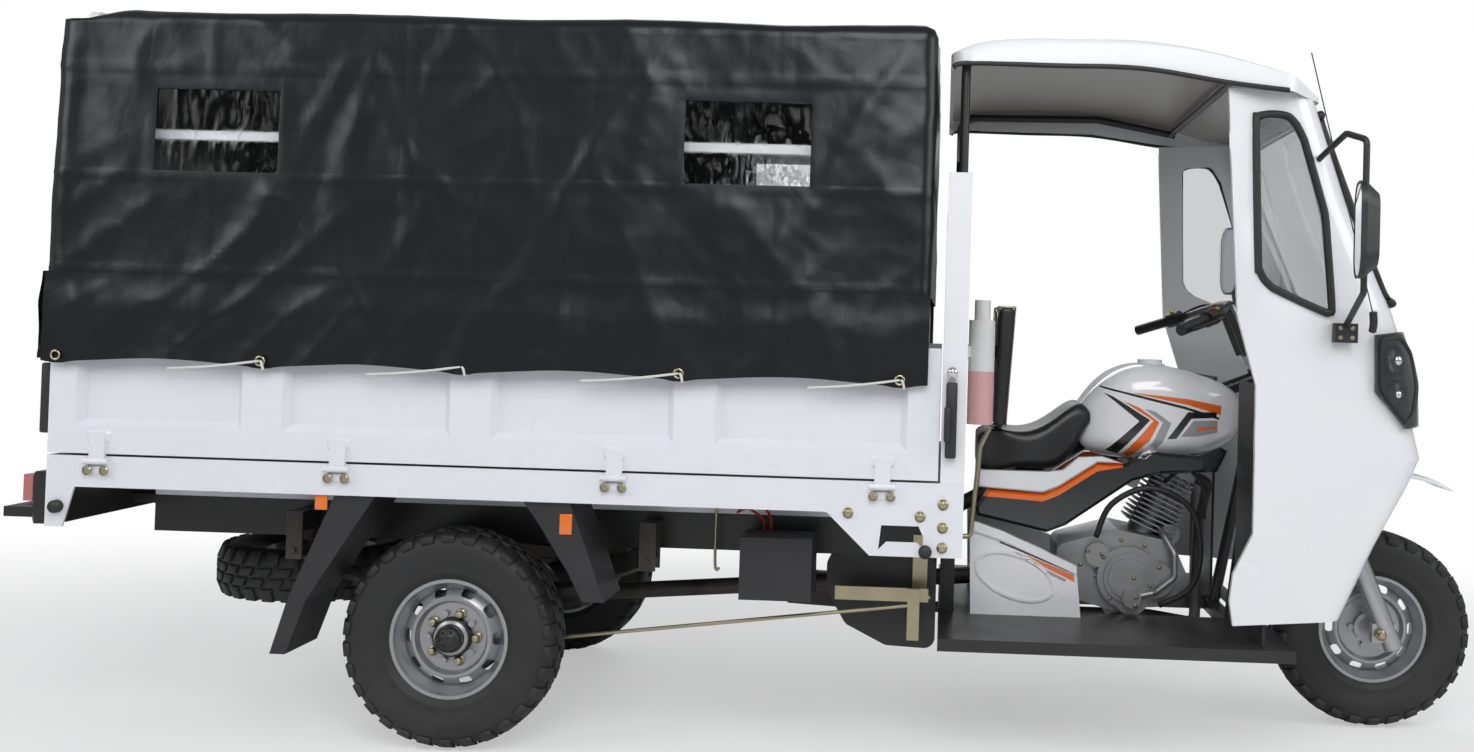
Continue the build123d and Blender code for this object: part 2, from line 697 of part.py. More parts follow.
# Front bulkhead: two tall posts, a ribbed sheet between them and a guard rail on top
inner_post = bed_half_width - front_post_width
post = block(
    post_rear_x, bed_front_x, -bed_half_width + 6.3, -inner_post, front_post_bottom, front_post_top
)
post += block(post_rear_x, bed_front_x, -bed_half_width, -inner_post, bed_floor_top + 0.3, front_post_top)
bulkhead = both_sides(post)
bulkhead += block(
    post_rear_x + 8, post_rear_x + 12, -inner_post, inner_post, bed_floor_top + 1, panel_top_z
)
for z in (rail_bottom_z, panel_top_z - 30, front_post_top - 40):
    bulkhead += block(post_rear_x + 8, post_rear_x + 48, -inner_post, inner_post, z, z + 40)
for i in range(-2, 3):
    bulkhead += block(
        post_rear_x + 8, post_rear_x + 26, i * 230 - 25, i * 230 + 25, bed_floor_top + 1, panel_top_z
    )
export(bulkhead, "bulkhead")

# Drop sides: a pressed sheet with four deep panels between ribs, hung on four hinges
side_outer_y = -bed_half_width
frame_band, frame_foot = 70, 72


def drop_side():
    body = block(
        bed_rear_x, panel_front_x, side_outer_y, side_outer_y + side_thickness, panel_bottom_z,
        panel_top_z,
    )
    edges = [bed_rear_x + frame_band]
    for centre in rib_centres:
        edges += [centre - side_rib_width / 2, centre + side_rib_width / 2]
    edges.append(panel_front_x - frame_band - 10)
    slope = 18
    for start, stop in zip(edges[::2], edges[1::2]):
        low, high = panel_bottom_z + frame_foot, panel_top_z - 40
        middle = (start + stop) / 2
        mouth = Plane.XZ * Pos(
            middle, (low + high) / 2, -side_outer_y
        ) * Rectangle(stop - start, high - low)
        deep_y = side_outer_y + side_thickness - 2 * side_sheet
        floor_outline = Rectangle(stop - start - 2 * slope, high - low - 2 * slope)
        deep = Plane.XZ * Pos(middle, (low + high) / 2, -deep_y) * floor_outline
        body -= loft([mouth.face(), deep.face()], ruled=True)
    knuckle_y = side_outer_y - hinge_stand_off
    pad_z = panel_bottom_z + frame_foot / 2 + 8
    for x in hinge_xs:
        pad = Plane(origin=(x, side_outer_y, pad_z), x_dir=(1, 0, 0), z_dir=(0, -1, 0))
        foot = (pad * RectangleRounded(hinge_pad_width, hinge_pad_height, 12)).face()
        crest = (
            pad * Pos(0, 0, 5) * RectangleRounded(hinge_pad_width - 12, hinge_pad_height - 12, 7)
        ).face()
        body += loft([foot, crest], ruled=True)
        body += block(
            x - knuckle_half, x + knuckle_half, knuckle_y + 2, side_outer_y, hinge_z,
            panel_bottom_z + 44,
        )
        body += Pos(x, knuckle_y, hinge_z) * Rot(0, 90, 0) * Cylinder(hinge_radius, 2 * knuckle_half)
        body -= Pos(x, knuckle_y, hinge_z) * Rot(0, 90, 0) * Cylinder(hinge_pin_radius + bearing_gap, 100)
    return body


print("drop sides")
right_side = drop_side()
button_z = panel_top_z - 20
for x in button_xs:
    right_side += rod(
        (x, -bed_half_width, button_z), (x, -cover_half_width - skirt_gap + seat_gap, button_z),
        button_radius,
    )
export(right_side, "side_right")
export(mirror(right_side, about=Plane.XZ), "side_left")

gate_half = bed_half_width - side_thickness - panel_gap
gate_x0, gate_x1 = bed_rear_x, bed_rear_x + side_thickness
gate = block(gate_x0, gate_x1, -gate_half, gate_half, panel_bottom_z, panel_top_z)
for start, stop in ((-gate_half + 60, -230), (-150, 150), (230, gate_half - 60)):
    gate -= block(
        gate_x0 - 1, gate_x0 + side_thickness - 6, start, stop, panel_bottom_z + frame_foot,
        panel_top_z - 40,
    )
gate_hinge_x = gate_x0 - hinge_stand_off
for y in gate_hinge_ys:
    gate += block(
        gate_hinge_x + 2, gate_x0, y - knuckle_half, y + knuckle_half, hinge_z, panel_bottom_z + 44
    )
    gate += Pos(gate_hinge_x, y, hinge_z) * Rot(90, 0, 0) * Cylinder(hinge_radius, 2 * knuckle_half)
    gate -= Pos(gate_hinge_x, y, hinge_z) * Rot(90, 0, 0) * Cylinder(hinge_pin_radius + bearing_gap, 100)
for y in gate_button_ys:
    gate += rod(
        (gate_x0, y, button_z), (gate_x0 - cover_rear_stand_off - skirt_gap + seat_gap, y, button_z),
        button_radius,
    )
export(gate, "tailgate")

# Rear cross beam with its step
bumper = block(bed_rear_x - 2, bed_rear_x + 40, -bed_half_width + 8, bed_half_width - 8, 560, 648)
board = block(bed_rear_x - 48, bed_rear_x - 2, -bed_half_width + 8, bed_half_width - 8, 556, 690)
bumper += chamfer(board.faces().sort_by(Axis.X)[0].edges(), board_bevel)
step_outer = plan_plate(
    [(bed_rear_x - 48, -600), (bed_rear_x - 48, 600), (bed_rear_x - 150, 600), (bed_rear_x - 150, -600)],
    564, 590, 0,
)
step_outer -= block(bed_rear_x - 118, bed_rear_x - 49, -560, 560, 560, 600)
for y in (-280, 0, 280):
    step_outer += block(bed_rear_x - 119, bed_rear_x - 47, y - 15, y + 15, 564, 590)
bumper += step_outer
for side in (1, -1):
    bumper += block(
        bed_rear_x + 40, chassis_rear_x + 60, side * chassis_rail_y - 20, side * chassis_rail_y + 20,
        575, 599.7,
    )
export(bumper - frame, "rear_bumper")
lamp = block(bed_rear_x - 72, bed_rear_x - 48.3, -640, -480, 612, 680)

# Cover frame: four bows of square tube, each two posts and a cross bar, and three long rails between them
print("cover")
hoop_xs = [bed_rear_x + 45, bed_rear_x + 800, bed_rear_x + 1560, post_rear_x - 60]
hoop_r = hoop_tube / 2
bow_top = hoop_top_z
bow_low = hoop_top_z - hoop_tube
rail_z = hoop_top_z - side_rail_drop
frame_tubes = []
for x in hoop_xs:
    for side in (1, -1):
        y0, y1 = side * (hoop_half_width - hoop_r), side * (hoop_half_width + hoop_r)
        frame_tubes += block(
            x - hoop_r, x + hoop_r, y0, y1, bed_floor_top + seat_gap, bow_low - seat_gap
        ).solids()
    bow_half = hoop_half_width + hoop_r
    bow_right = [
        (-bow_half + bow_flat_inset, bow_top),
        (-bow_half + bow_shoulder_inset, bow_top - bow_shoulder_drop),
        (-bow_half, bow_top - bow_end_drop), (-bow_half, bow_low),
    ]
    bow_ring = [(x - hoop_r, y, z) for y, z in bow_right + [(-y, z) for y, z in reversed(bow_right)]]
    frame_tubes += extrude(
        make_face(Polyline(*bow_ring, close=True)), amount=hoop_tube, dir=(1, 0, 0)
    ).solids()
for start, stop in zip(hoop_xs, hoop_xs[1:]):
    x0, x1 = start + hoop_r + seat_gap, stop - hoop_r - seat_gap
    for side in (1, -1):
        y0, y1 = side * (hoop_half_width - hoop_r + 2), side * (hoop_half_width + hoop_r - 2)
        frame_tubes += block(x0, x1, y0, y1, rail_z, rail_z + hoop_tube).solids()
    frame_tubes += block(x0, x1, -hoop_r, hoop_r, bow_low + 2, bow_top).solids()
export(Compound(children=frame_tubes), "cover_frame")

# Cover: a roof sheet, two side sheets with two clear panes each, and two end sheets, meeting at seams
cover_rear_x = bed_rear_x - cover_rear_stand_off
cover_front_x = post_rear_x - cover_front_gap


def cover_form(inset):
    """The cover's outer form, taken in by inset all round, with a crowned top."""
    foot, eave = cover_half_width - inset, cover_top_half_width - inset
    foot_z, top_z = cover_split_z - (1 if inset else 0), cover_top_z - inset
    shoulder, edge_z = eave - cover_shoulder_width, top_z - cover_crown
    eave_z = edge_z - cover_shoulder_drop
    section = Wire(
        [
            Line((0, -foot, foot_z), (0, foot, foot_z)),
            Line((0, foot, foot_z), (0, eave, eave_z)),
            Line((0, eave, eave_z), (0, shoulder, edge_z)),
            ThreePointArc((0, shoulder, edge_z), (0, 0, top_z), (0, -shoulder, edge_z)),
            Line((0, -shoulder, edge_z), (0, -eave, eave_z)),
            Line((0, -eave, eave_z), (0, -foot, foot_z)),
        ]
    )
    length = cover_front_x - cover_rear_x - 2 * inset
    return Pos(cover_rear_x + inset, 0, 0) * extrude(make_face(section), amount=length, dir=(1, 0, 0))


cover = cover_form(0) - cover_form(cover_thickness)
shoulder_z = cover_top_z - cover_crown - cover_shoulder_drop
seam_reach = cover_half_width + 26
end_depth = cover_thickness + seat_gap
for seam in (
    block(cover_rear_x - 5, cover_front_x + 5, -seam_reach, seam_reach, shoulder_z - seat_gap, shoulder_z),
    block(
        cover_rear_x + cover_thickness, cover_rear_x + end_depth, -seam_reach, seam_reach,
        cover_split_z - 5, shoulder_z,
    ),
    block(
        cover_front_x - end_depth, cover_front_x - cover_thickness, -seam_reach, seam_reach,
        cover_split_z - 5, shoulder_z,
    ),
):
    cover -= seam
pane_xs = [bed_rear_x + 252, bed_rear_x + 1619]
panes = []
for x in pane_xs:
    window_top = cover_window_bottom + cover_window_height
    opening = block(x, x + cover_window_width, -seam_reach, seam_reach, cover_window_bottom, window_top)
    panes += (cover & opening).solids()
    cover -= opening
export(Compound(children=list(cover.solids())), "cover")

skirt_y = cover_half_width + skirt_gap
skirt = block(
    cover_rear_x + 8, cover_front_x - 4, -skirt_y - skirt_thickness, -skirt_y, skirt_bottom_z,
    cover_split_z + skirt_overlap,
)
export(skirt, "skirt_right")
export(mirror(skirt, about=Plane.XZ), "skirt_left")
rear_skirt_x = cover_rear_x - skirt_gap
rear_skirt = block(
    rear_skirt_x - skirt_thickness, rear_skirt_x, -cover_half_width + 4, cover_half_width - 4,
    skirt_bottom_z, cover_split_z + skirt_overlap,
)
export(rear_skirt, "skirt_rear")

# Cab shell: lofted plan sections, hollow, with the door edge, windows and wheel mouth cut
print("cab")
cab_sections = [
    # z, front x, half width at the door, half width at the front, corner radius
    (388, 2325, 612, 470, 90),
    (580, 2430, 616, 430, 110),
    (735, 2528, 619, 400, 140),
    (808, 2562, 620, 398, 150),
    (885, 2541, 620, 405, 150),
    (1000, 2530, 620, 428, 150),
    (1115, 2490, 619, 450, 135),
    (1205, 2450, 618, 470, 120),
    (1480, 2320, 609, 488, 105),
    (1762, 2216, 600, 505, 90),
]


def cab_form(inset, first=0, last=len(cab_sections)):
    """Lofts between the plan sections from first to last, taken in by inset and joined."""
    faces = []
    for z, front, w_door, w_front, corner in cab_sections[first:last]:
        x0 = rear_axle_x + cab_back_x
        x1 = rear_axle_x + front - inset
        outline = Polyline(
            (x0, -w_door + inset, z), (x1, -w_front + inset, z), (x1, w_front - inset, z),
            (x0, w_door - inset, z), close=True
        )
        face = make_face(outline)
        front_corners = face.vertices().sort_by(Axis.X)[-2:]
        faces.append(fillet(front_corners, corner - inset).face())
    form = loft(faces[:2], ruled=True)
    for low, high in zip(faces[1:], faces[2:]):
        form += loft([low, high], ruled=True)
    return form


cab_outer = cab_form(0)
cab_room = cab_form(cab_wall)
shell = cab_outer - cab_room
door_edge = [
    (1968, 1780), (1985, 1470), (2002, 1180), (2058, 1000), (2062, 620), (2010, 520), (2002, 450),
    (2014, 380),
]
shell -= side_plate(from_axle([(cab_back_x - 10, 1780), *door_edge, (cab_back_x - 10, 370)]), -800, 800)
window_outline = [
    (2046, 1690), (2138, 1694), (2172, 1640), (2230, 1440), (2256, 1194), (2088, 1264), (2060, 1300),
]
side_window = side_plate(from_axle(window_outline), -800, 800, 22)
shell -= side_window
screen_points = [(-430, 1225), (430, 1225), (455, 1715), (-455, 1715)]
screen_wire = FilletPolyline(*[(rear_axle_x + 2150, y, z) for y, z in screen_points], radius=60, close=True)
screen_hole = extrude(make_face(screen_wire), amount=420, dir=(1, 0, 0))
shell -= screen_hole
mouth_points = [(-345, 380), (345, 380), (345, 700), (240, 780), (-240, 780), (-345, 700)]
mouth_wire = Polyline(*[(rear_axle_x + 2150, y, z) for y, z in mouth_points], close=True)
shell -= extrude(make_face(mouth_wire), amount=500, dir=(1, 0, 0))
# The headlamps sit in shallow recesses that wrap round the two front corners
lamp_side = [(2381, 1140), (2460, 1150), (2620, 1150), (2620, 905), (2486, 893), (2388, 990)]
lamp_front = [(-640, 1160), (-400, 1160), (-262, 1060), (-240, 960), (-300, 885), (-640, 885)]


def lamp_prism(inset):
    """The space of the right headlamp from its side and front outlines, taken in by inset."""
    side = offset(
        make_face(Polyline(*[(rear_axle_x + x, -700, z) for x, z in lamp_side], close=True)), -inset
    )
    front_x = rear_axle_x + 2300
    front = offset(make_face(Polyline(*[(front_x, y, z) for y, z in lamp_front], close=True)), -inset)
    return extrude(side, amount=520, dir=(0, 1, 0)) & extrude(front, amount=340, dir=(1, 0, 0))


lamp_band = (3, 8)
lamp_space = lamp_prism(0)
recess = (cab_form(0, *lamp_band) - cab_form(lamp_recess, *lamp_band)) & lamp_prism(lamp_lip)
shell -= recess + mirror(recess, about=Plane.XZ)
export(shell, "cab_shell")
lamp_outer = cab_form(-lamp_bulge, *lamp_band)
lens = (lamp_outer - cab_form(3 - lamp_bulge, *lamp_band)) & lamp_space
lens += (lamp_outer - cab_form(-seat_gap, *lamp_band)) & (lamp_space - lamp_prism(4))
export(Compound(children=[*pair(lens).solids(), *pair(lamp).solids()]), "lamps")

# Glass: the windscreen and the two side windows, cut from the middle of the wall
glass_band = (7, 10)
glass_skin = cab_form(
    (cab_wall - glass_thickness) / 2, *glass_band
) - cab_form((cab_wall + glass_thickness) / 2, *glass_band)
screen = glass_skin & screen_hole
door_glass = glass_skin & side_window
export(Compound(children=[*screen.solids(), *door_glass.solids(), *panes]), "window_panes")

# Roof panel: a crowned tray, lofted along x and hollow below, over the top of the cab
roof_sections = [
    # x from the rear axle, top z, corner radius
    (1256, 1834, 40), (1330, 1868, 46), (1540, 1883, 46), (1744, 1880, 46), (1965, 1846, 42),
    (2150, 1792, 34),
    (2236, 1760, 24),
]
roof_low_line = [(1240, 1772), (1284, 1808), (1744, 1804), (1962, 1774), (2180, 1752), (2250, 1750)]


def roof_form(inset):
    """The roof's outer form, taken in by inset, running well below its edge, cut to its plan."""
    half = roof_half_width - inset
    form = x_loft(
        [(x, half, roof_skirt_z, top - inset, corner - inset) for x, top, corner in roof_sections]
    )
    rear, front = roof_sections[0][0] + inset, roof_sections[-1][0] - inset
    plan = [
        (rear, -half), (2130, -half + 20), (front, -half + 160), (front, half - 160), (2130, half - 20),
        (rear, half),
    ]
    return form & plan_plate(from_axle(plan), roof_skirt_z - 10, roof_sections[2][1] + 40, 60)


roof = roof_form(0) - roof_form(roof_thickness)
roof &= side_plate(from_axle([*roof_low_line, (2250, 1950), (1240, 1950)]), -640, 640)
roof -= cab_outer
export(roof, "cab_roof")

# Cab frame: posts on the bulkhead, roof rails and cross tubes
tube_r = cab_tube / 2
rail_y = 560
cab_frame = None
for side in (1, -1):
    run = tube_run(
        [
            (bed_front_x - 22, side * rail_y, front_post_top + 0.3),
            (bed_front_x - 22, side * rail_y, 1846),
            (rear_axle_x + 1760, side * rail_y, 1850), (rear_axle_x + 2020, side * (rail_y - 20), 1800),
        ],
        tube_r - 3, 50,
    )
    cab_frame = run if cab_frame is None else cab_frame + run
cab_frame += rod((bed_front_x - 22, -rail_y, 1700), (bed_front_x - 22, rail_y, 1700), tube_r - 5)
cab_frame += rod(
    (rear_axle_x + 2005, -rail_y + 20, 1802), (rear_axle_x + 2005, rail_y - 20, 1802), tube_r - 5
)
export(cab_frame, "cab_frame")

# Inner front wall and dash
wall_x = rear_axle_x + 2100
room = cab_form(cab_wall + seat_gap)
wall = block(wall_x, wall_x + 8, -585, 585, 388, 1000) & room
wall += block(wall_x, wall_x + 8, -520, 520, deck_top + 0.3, 389)
wall -= block(wall_x - 5, wall_x + 20, -175, 175, deck_top - 10, 1010)
dash = side_plate(
    [
        (rear_axle_x + 2325, 1060), (rear_axle_x + 2325, 1120), (rear_axle_x + 2400, 1140),
        (rear_axle_x + 2400, 1060),
    ],
    -600, 600, 10,
) & room
export(Compound(children=[*wall.solids(), *dash.solids()]), "front_wall")

# Saddle, tank, and the body panels round them
print("tank and seat")


backbone = rod(
    tuple(head_high + Vector(-16, 0, -40)), (rear_axle_x + 1680, 0, 800), backbone_radius + seat_gap
)
backbone += rod((rear_axle_x + 1680, 0, 800), (rear_axle_x + 1290, 0, 585), backbone_radius + seat_gap)
tank_sections = [
    # x from the rear axle, half width, low z, high z, corner radius
    (1655, 78, 800, 908, 36), (1712, 128, 772, 978, 60), (1785, 162, 765, 1026, 82),
    (1870, 172, 765, 1038, 88),
    (1965, 172, 776, 1022, 84), (2060, 152, 800, 992, 74), (2122, 104, 846, 950, 40),
]
fuel_tank = x_loft(tank_sections)
tank_seat = x_loft(
    [(x, half + seat_gap, low, high + seat_gap, corner) for x, half, low, high, corner in tank_sections]
)
tank_seat += Pos(-seat_gap, 0, 0) * tank_seat
tunnel = block(rear_axle_x + 1600, rear_axle_x + 2200, -75, 75, 700, 870)
fuel_tank -= tunnel
fuel_tank -= backbone
fuel_tank -= rod(tuple(head_low - head_axis * 30), tuple(head_high + head_axis * 60), 78)
# Filler cap on a low neck
cap_place = Pos(rear_axle_x + 1872, 0, 1030)
fuel_tank += cap_place * Cylinder(44, 16) + cap_place * Pos(0, 0, 13) * Cylinder(36, 14)
export(fuel_tank, "fuel_tank")

# Seat: a pad that climbs from the bulkhead over the back of the tank
seat = x_loft(
    [
        (1363, 146, 729, 820, 26), (1500, 150, 729, 836, 32), (1572, 146, 729, 866, 34),
        (1634, 134, 768, 912, 36),
        (1672, 128, 836, 914, 32), (1688, 124, 862, 896, 14),
    ]
)
seat -= backbone + tank_seat
export(seat, "saddle")

backrest = side_plate(
    [
        (rear_axle_x + 1404, 850), (rear_axle_x + 1440, 850), (rear_axle_x + 1460, 1190),
        (rear_axle_x + 1416, 1190),
    ],
    -190, 190, 14,
)
bar_front_x = post_rear_x + 48
bar_low_z = panel_top_z - 30
for y in (-100, 100):
    backrest += block(bar_front_x + 0.3, rear_axle_x + 1424, y - 20, y + 20, bar_low_z + 5, bar_low_z + 35)
export(backrest, "backrest")

bottle = Pos(rear_axle_x + 1362, -330, 865) * Cylinder(36, 285, align=standing)
bottle += Pos(rear_axle_x + 1362, -330, 1149) * Cylinder(22, 56, align=standing)
bottle += block(bar_front_x + 0.3, rear_axle_x + 1340, -350, -310, bar_low_z + 5, bar_low_z + 35)
export(bottle, "coolant_bottle")

# Fairings: a white strip under the seat, and a darker panel below it that runs forward under the tank
strip_outline = [
    (1367, 727), (1367, 680), (1400, 676), (1550, 668), (1597, 688), (1702, 758), (1779, 757), (1715, 775),
    (1648, 771), (1604, 733), (1560, 727),
]
panel_outline = [
    (1394, 672), (1360, 620), (1365, 597), (1565, 555), (1618, 577), (1803, 708), (1880, 730), (2040, 741),
    (2068, 800), (2048, 812), (1984, 784), (1884, 790), (1848, 797), (1779, 755), (1702, 755),
    (1597, 685), (1550, 665),
]
strip = side_plate(from_axle(strip_outline), -fairing_y - 34, -fairing_y)
strip = chamfer(strip.faces().sort_by(Axis.Y)[0].edges(), 5)
strip += block(rear_axle_x + 1480, rear_axle_x + 1520, -fairing_y, -150.3, 690, 715)
panel = side_plate(from_axle(panel_outline), -fairing_y - 24, -fairing_y)
panel = chamfer(panel.faces().sort_by(Axis.Y)[0].edges(), 9)
panel += block(rear_axle_x + 1420, rear_axle_x + 1460, -fairing_y, -backbone_radius - seat_gap, 655, 672)
fairing = strip + panel

# Lower covers: a flat panel with a stepped upper border and a raised oval moulding
cover_outline = [
    (1352, 345), (1345, 590), (1440, 560), (1646, 470), (1662, deck_top + seat_gap),
    (1352, deck_top + seat_gap),
]
border_outline = [(1345, 590), (1440, 560), (1646, 470), (1648, 446), (1440, 534), (1346, 562)]
side_cover = side_plate(from_axle(cover_outline), -236, -215)
side_cover += side_plate(from_axle(border_outline), -244, -225)
oval_place = Plane(
    origin=(rear_axle_x + 1475, -236, 435), x_dir=(cos(radians(20)), 0, -sin(radians(20))),
    z_dir=(0, -1, 0),
)
oval = Ellipse(118, 62) - Ellipse(110, 54)
side_cover += extrude(oval_place * oval, amount=5)
export(Compound(children=[*pair(fairing).solids(), *pair(side_cover).solids()]), "body_panels")

# Mirrors on C-shaped arms
mirror_width, mirror_height, mirror_depth = 150, 236, 46
mirror_y, mirror_z, mirror_turn = -748, 1392, radians(10)
mirror_x = rear_axle_x + 2252
glass_plane = Plane(
    origin=(mirror_x, mirror_y, mirror_z),
    x_dir=(sin(mirror_turn), cos(mirror_turn), 0),
    z_dir=(cos(mirror_turn), -sin(mirror_turn), 0),
)
housing = extrude(glass_plane * RectangleRounded(mirror_width, mirror_height, 58), amount=14)
housing += loft(
    [
        (glass_plane * Pos(0, 0, 14) * RectangleRounded(mirror_width, mirror_height, 58)).face(),
        (
            glass_plane * Pos(0, 0, mirror_depth) * RectangleRounded(
                mirror_width - 54, mirror_height - 60, 40
            )
        ).face(),
    ],
    ruled=True,
)
housing -= extrude(glass_plane * RectangleRounded(mirror_width - 12, mirror_height - 12, 52), amount=5)
mirror_top, mirror_low = mirror_z + mirror_height / 2, mirror_z - mirror_height / 2
arm_x = mirror_x + 18
arm = tube_run(
    [
        (rear_axle_x + 2216, -480, 1585), (rear_axle_x + 2240, -680, 1636), (arm_x, mirror_y, 1612),
        (arm_x, mirror_y, mirror_top - 10),
    ],
    8, 18,
)
arm += tube_run(
    [
        (rear_axle_x + 2290, -500, 1140), (rear_axle_x + 2290, -560, 1172),
        (rear_axle_x + 2276, mirror_y + 20, 1240),
        (arm_x, mirror_y, mirror_low + 20),
    ],
    8, 12,
)
arm += block(rear_axle_x + 2262, rear_axle_x + 2320, -546, -490, 1117, 1167)
arm -= cab_form(-seat_gap)
export(pair(arm + housing), "mirrors")

# Fork and handlebar
print("steering")
axis_dir = Vector(-sin(rake), 0, cos(rake))


def leg_point(z, y):
    return Vector(front_axle_x + axle_lead - (z - axle_height) * tan(rake), y, z)


fork = None
for side in (1, -1):
    slider = rod(leg_point(axle_height - 40, side * leg_y), leg_point(640, side * leg_y), leg_radius)
    stanchion = rod(leg_point(630, side * leg_y), leg_point(1080, side * leg_y), stanchion_radius)
    lug = block(
        front_axle_x - 22, front_axle_x + 46, side * leg_y - 14, side * leg_y + 14, axle_height - 24,
        axle_height + 30,
    )
    part = slider + stanchion + lug
    fork = part if fork is None else fork + part
fork += rod((front_axle_x, -leg_y - 22, axle_height), (front_axle_x, leg_y + 22, axle_height), 10)
clamp_half = 17


def clamp_place(z):
    """The plane square to the steering axis where the axis passes height z."""
    return Plane(origin=steer_point(z), z_dir=axis_dir, x_dir=(cos(rake), 0, sin(rake)))


stem_boss, leg_boss = 36, 32
clamp_face = Pos(0, 0) * Circle(stem_boss)
for side in (1, -1):
    clamp_face += Pos(leg_offset, side * leg_y) * Circle(leg_boss)
clamp_face += make_face(
    Polyline(
        (-24, -26), (28, -leg_y - 20), (leg_offset + 22, -leg_y), (leg_offset + 22, leg_y),
        (28, leg_y + 20), (-24, 26), close=True,
    )
)
clamp = extrude(clamp_face, amount=2 * clamp_half)
low_clamp_z, high_clamp_z = steer_head_low_z - 26, steer_head_high_z + 26
for z in (low_clamp_z, high_clamp_z):
    fork += clamp_place(z) * Pos(0, 0, -clamp_half) * clamp
fork += rod(steer_point(steer_head_low_z - 20), steer_point(steer_head_high_z + 20), 24)
export(fork, "fork")

grip_end = Vector(rear_axle_x + 1892, 405, 1138)
grip_inner = Vector(rear_axle_x + 2030, 250, 1190)
riser_length = 160
bar_middle = steer_point(high_clamp_z) + axis_dir * (
    clamp_half + riser_length
) + Vector(cos(rake), 0, sin(rake)) * -24
bar_path = []
for bend in (grip_end, grip_inner, Vector(bar_middle.X, 75, bar_middle.Z)):
    bar_path.append((bend.X, bend.Y, bend.Z))
bar_path += [(x, -y, z) for x, y, z in reversed(bar_path)]
handlebar = tube_run(bar_path, bar_radius, 30)
grip_dir = (grip_inner - grip_end).normalized()
lever_ahead = Vector(-grip_dir.Y, grip_dir.X, 0).normalized()
if lever_ahead.X < 0:
    lever_ahead = lever_ahead * -1
control = rod(tuple(grip_end), tuple(grip_end + grip_dir * 125), grip_radius)
control += rod(tuple(grip_end + grip_dir * 132), tuple(grip_end + grip_dir * 178), 23)
pivot = grip_end + grip_dir * 160
control += rod(tuple(pivot), tuple(pivot + lever_ahead * 36), 8)
lever_root = pivot + lever_ahead * 34
lever_bend = lever_root - grip_dir * 40 + lever_ahead * 8
control += rod(tuple(lever_root), tuple(lever_bend), 6)
control += rod(tuple(lever_bend), tuple(grip_end + lever_ahead * 34 + grip_dir * 10), 5)
handlebar += both_sides(control)
for side in (1, -1):
    riser = Pos(-24, side * 45, clamp_half + seat_gap) * Cylinder(14, riser_length, align=standing)
    handlebar += clamp_place(high_clamp_z) * riser
export(handlebar, "handlebar")

fender = side_plate(
    [
        (rear_axle_x + 2330, 690), (rear_axle_x + 2440, 738), (rear_axle_x + 2590, 745),
        (rear_axle_x + 2690, 728),
        (rear_axle_x + 2743, 700), (rear_axle_x + 2743, 694), (rear_axle_x + 2690, 716),
        (rear_axle_x + 2590, 735),
        (rear_axle_x + 2440, 730), (rear_axle_x + 2330, 682),
    ],
    -75, 75,
)
bridge_x = leg_point(712, 0).X
fender += block(
    bridge_x - 10, bridge_x + 10, 0.3 + stanchion_radius - leg_y, leg_y - stanchion_radius - 0.3, 700,
    728,
)
export(fender, "front_fender")
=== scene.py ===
# %% [markdown]
# # A cargo motor tricycle
# A three-wheeled motorcycle with a half cab, a saddle and a long load bed. The bed has drop sides and a
# black cloth cover tied down with cord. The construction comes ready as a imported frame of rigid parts, in
# metres, with +X forward, +Y to the left and +Z up. This lesson dresses it: paint, rubber, cloth, glass,
# cord and small fittings.

# %% Load the frame
from math import cos, pi, radians, sin

import bmesh
import bpy
from mathutils import Matrix, Vector, noise
from mathutils.bvhtree import BVHTree


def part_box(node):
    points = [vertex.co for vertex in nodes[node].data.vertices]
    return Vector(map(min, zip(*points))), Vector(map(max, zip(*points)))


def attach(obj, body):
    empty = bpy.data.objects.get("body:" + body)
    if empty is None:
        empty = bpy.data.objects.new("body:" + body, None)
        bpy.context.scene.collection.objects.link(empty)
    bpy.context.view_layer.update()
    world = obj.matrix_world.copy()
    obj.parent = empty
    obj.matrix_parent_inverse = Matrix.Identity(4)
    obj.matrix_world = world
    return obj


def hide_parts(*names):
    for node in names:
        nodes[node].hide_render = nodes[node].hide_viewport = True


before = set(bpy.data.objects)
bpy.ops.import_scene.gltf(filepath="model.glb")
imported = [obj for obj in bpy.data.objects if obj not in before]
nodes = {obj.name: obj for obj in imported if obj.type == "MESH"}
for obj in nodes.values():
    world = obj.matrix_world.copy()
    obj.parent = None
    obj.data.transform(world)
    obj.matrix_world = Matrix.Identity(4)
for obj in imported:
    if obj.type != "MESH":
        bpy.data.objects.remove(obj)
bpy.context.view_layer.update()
scene = bpy.context.scene

# %% [markdown]
# ## Where the rear axle is
# Distances along the vehicle are easiest to read from the rear axle, as a mechanic would measure them.
# The middle of the rear tyre's box gives it, so a changed frame moves everything that is placed here.

# %% Landmarks of the frame
def middle(node):
    """The middle of a node's box."""
    low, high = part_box(node)
    return (low + high) / 2


AXLE_X = middle("tyre_rear_right").x
print("rear axle at x", round(AXLE_X, 4))

# %% [markdown]
# ## The camera
# The photograph was taken from the vehicle's right, a little below the handlebar, and cropped afterwards,
# so its optical centre isn't in the middle of the picture. A lens shift says that without turning the
# camera.

# %% Camera at the photograph's angle
PHOTO_WIDTH, PHOTO_HEIGHT = 1474, 752
CAMERA_FROM_AXLE = Vector((1.2556, -4.0799, 1.1189))
YAW, PITCH, ROLL = radians(-1.9744), radians(1.0211), radians(1.6533)
FOCAL_PIXELS = 1360.3
OPTICAL_CENTRE = (897.3, 304.9)

